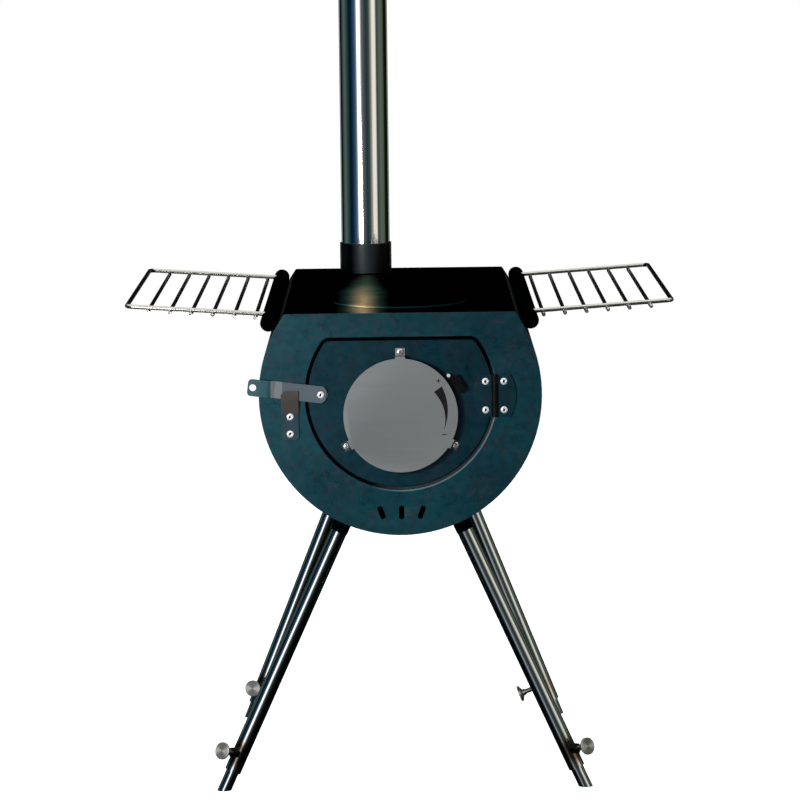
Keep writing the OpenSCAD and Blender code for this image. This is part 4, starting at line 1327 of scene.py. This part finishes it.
@dataclass
class Studio:
    """Camera, lamps, floor and background.

    Polished metal sees a ring of cards round the stove, by direction in degrees from the camera to
    the right, others below and a bright cloth above, by height from 0 to 1.
    """

    camera_at: Place = (-0.0005, -4.79325, 1.0167)
    pitch: float = 7.117
    roll: float = -0.68
    lens: float = 181.5
    sensor: float = 36
    far: float = 50
    floor_size: float = 12
    floor_glow: float = 0.9
    lean: float = 0.6
    low_rise: Range = (-0.30, -0.18)
    top_rise: Range = (0.33, 0.45)
    behind: Range = (2.25, 2.4)
    behind_rise: Range = (-0.02, 0.05)
    room: Color = (0.12, 0.12, 0.125)
    lamps: tuple[Lamp, ...] = (
        Lamp("key", (-0.34, -0.85, 0.57), (-0.02, -0.27, 0.46), 0.1, 5),
        Lamp("fill", (-0.4, -3.0, 1.0), (0.0, -0.27, 0.4), 1.2, 7),
        Lamp("sheen", (-0.466, -1.09, 0.52), (-0.1, -0.27, 0.52), 0.3, 2.6, mirrored=True),
        Lamp("back", (0.6, 2.2, 1.8), (0.0, 0.2, 0.5), 1.2, 14),
        Lamp("side_left", (-2.2, 0.5, 1.5), (0, 0.1, 0.45), 1.0, 16),
        Lamp("side_right", (2.2, 0.5, 1.5), (0, 0.1, 0.45), 1.0, 16))
    cards: Stops = (
        (-180, UNLIT), (-158, UNLIT), (-155, grey(0.5)), (-149, grey(0.5)), (-146, (0.004, 0.006, 0.006)),
        (-128, (0.003, 0.008, 0.008)), (-118, (0.04, 0.07, 0.075)),
        (-102, (0.10, 0.135, 0.12)), (-91, (0.03, 0.08, 0.07)), (-70, (0.0, 0.008, 0.016)),
        (-58, (0.003, 0.02, 0.045)), (-42, (0.04, 0.09, 0.17)), (-33, (0.25, 0.3, 0.38)),
        (-28.5, (2.2, 2.2, 2.3)), (-19.5, (2.2, 2.2, 2.25)), (-14, (0.7, 0.7, 0.73)),
        (-8, (0.13, 0.13, 0.14)), (5, (0.05, 0.07, 0.08)), (13, (0.012, 0.04, 0.04)),
        (26, (0.05, 0.07, 0.07)), (36, (0.35, 0.33, 0.3)), (43, (0.95, 0.92, 0.8)), (57, (0.95, 0.92, 0.8)),
        (64, (0.04, 0.055, 0.05)), (84, (0.11, 0.14, 0.12)), (102, (0.085, 0.115, 0.075)),
        (114, (0.003, 0.008, 0.003)), (146, grey(0.006)), (149, (0.45, 0.44, 0.41)),
        (155, (0.45, 0.44, 0.41)), (158, UNLIT), (180, UNLIT))
    low_cards: Stops = (
        (-180, (0.5, 0.5, 0.52)), (-174, (0.5, 0.5, 0.52)), (-168, grey(0.05)), (-140, grey(0.02)),
        (-124, (0.001, 0.002, 0.002)), (-60, (0.001, 0.003, 0.004)), (-38, (0.01, 0.03, 0.05)),
        (-28, (0.35, 0.36, 0.4)), (-20, (0.4, 0.4, 0.42)), (-13, (0.06, 0.07, 0.07)),
        (0, (0.02, 0.035, 0.035)), (14, (0.012, 0.02, 0.018)), (30, (0.004, 0.006, 0.006)),
        (60, (0.001, 0.002, 0.002)), (132, grey(0.002)), (150, (0.05, 0.045, 0.04)), (168, grey(0.05)),
        (174, (0.5, 0.5, 0.48)), (180, (0.5, 0.5, 0.48)))
    cloth: Stops = (
        (0, grey(0.004)), (0.42, grey(0.006)), (0.55, grey(0.3)), (0.68, grey(1.2)), (1, grey(1.2)))

    def camera(self) -> None:
        """Sets the camera at the photograph's angle."""
        data = bpy.data.cameras.new("camera")
        data.lens = self.lens
        data.sensor_width = self.sensor
        data.clip_end = self.far
        holder = shown("camera", data)
        pitch = Matrix.Rotation(math.radians(90 - self.pitch), 4, "X")
        roll = Matrix.Rotation(math.radians(self.roll), 4, "Z")
        holder.matrix_world = Matrix.Translation(self.camera_at) @ pitch @ roll
        bpy.context.scene.camera = holder

    def floor(self) -> None:
        """Lays the pale floor, white to the camera, with the stove's soft shadow."""
        g = Graph("pale_floor")
        g.set(Base_Color=(*grey(0.8), 1), Roughness=0.9, Specular_IOR_Level=0.0, Emission_Color=(*WHITE, 1))
        seen = g.node("LightPath", {}).outputs["Is Camera Ray"]
        g.into("Emission Strength", g.math("MULTIPLY", seen, self.floor_glow))
        bm = bmesh.new()
        bmesh.ops.create_grid(bm, x_segments=1, y_segments=1, size=self.floor_size)
        plane = shown("floor", meshed("floor", bm))
        plane.data.materials.append(g.material)
        plane.visible_glossy = False

    def surroundings(self, t: Tree) -> Socket:
        """What polished metal sees, by direction.

        Args:
            t: the world's tree.

        Returns:
            The colour.
        """
        east, north, up = t.axes(t.node("TexCoord", {}).outputs["Generated"])
        turn = t.math("ARCTAN2", east, t.math("MULTIPLY", north, -1.0))
        nearer = t.math("SUBTRACT", 1.0, t.math("MULTIPLY", t.math("MAXIMUM", up, 0.0), self.lean))
        degrees = t.math("MULTIPLY", t.math("MULTIPLY", turn, nearer), math.degrees(1))
        rings = [t.ramp(degrees, rows, -180, 180) for rows in (self.low_cards, self.cards)]
        sides = t.mix(t.span(up, *self.low_rise), *rings)
        behind = t.span(t.math("ABSOLUTE", turn), *self.behind)
        sides = t.mix(t.math("MULTIPLY", behind, t.span(up, *self.behind_rise)), sides, UNLIT)
        return t.mix(t.span(up, *self.top_rise), sides, t.ramp(up, self.cloth, 0, 1))

    def world(self) -> None:
        """A white background; polished metal sees the studio's cards instead, and the rest a dim room."""
        world = bpy.data.worlds.new("studio")
        world.use_nodes = True
        bpy.context.scene.world = world
        t = Tree(world.node_tree)
        ray = t.node("LightPath", {}).outputs
        shine = t.mix(ray["Is Glossy Ray"], self.room, self.surroundings(t))
        seen = t.math("MAXIMUM", ray["Is Camera Ray"], ray["Is Transmission Ray"])
        t.link(t.mix(seen, shine, WHITE), t.tree.nodes["Background"].inputs["Color"])

    def build(self) -> None:
        """Sets up the studio."""
        self.camera()
        self.world()
        self.floor()
        for lamp in self.lamps:
            lamp.light()
        bpy.context.scene.view_settings.view_transform = "Standard"


STANCES: dict[Row, Stance] = {
    Row.FRONT: Stance(lean=24.4, depth=25.0, rise=0.0, screw_along=456.0),
    Row.REAR: Stance(lean=21.8, depth=443.0, rise=21.0, screw_along=475.308),
}
SCREW_TURNS: dict[tuple[Row, Side], float] = {
    (Row.FRONT, Side.LEFT): 40, (Row.FRONT, Side.RIGHT): 42,
    (Row.REAR, Side.LEFT): 21, (Row.REAR, Side.RIGHT): -90,
}


def main() -> None:
    """Builds the stove and its studio."""
    logging.basicConfig(level=logging.INFO, format="%(message)s")
    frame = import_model()
    Studio().build()
    for group in (Firebox, Rivets, Door, Latch, Hob):
        group(frame).build()
    for side in Side:
        Rack(frame, side).build()
    for (row, side), turn in SCREW_TURNS.items():
        Leg(frame, row, side, STANCES[row], turn).build()


if __name__ == "__main__":
    main()
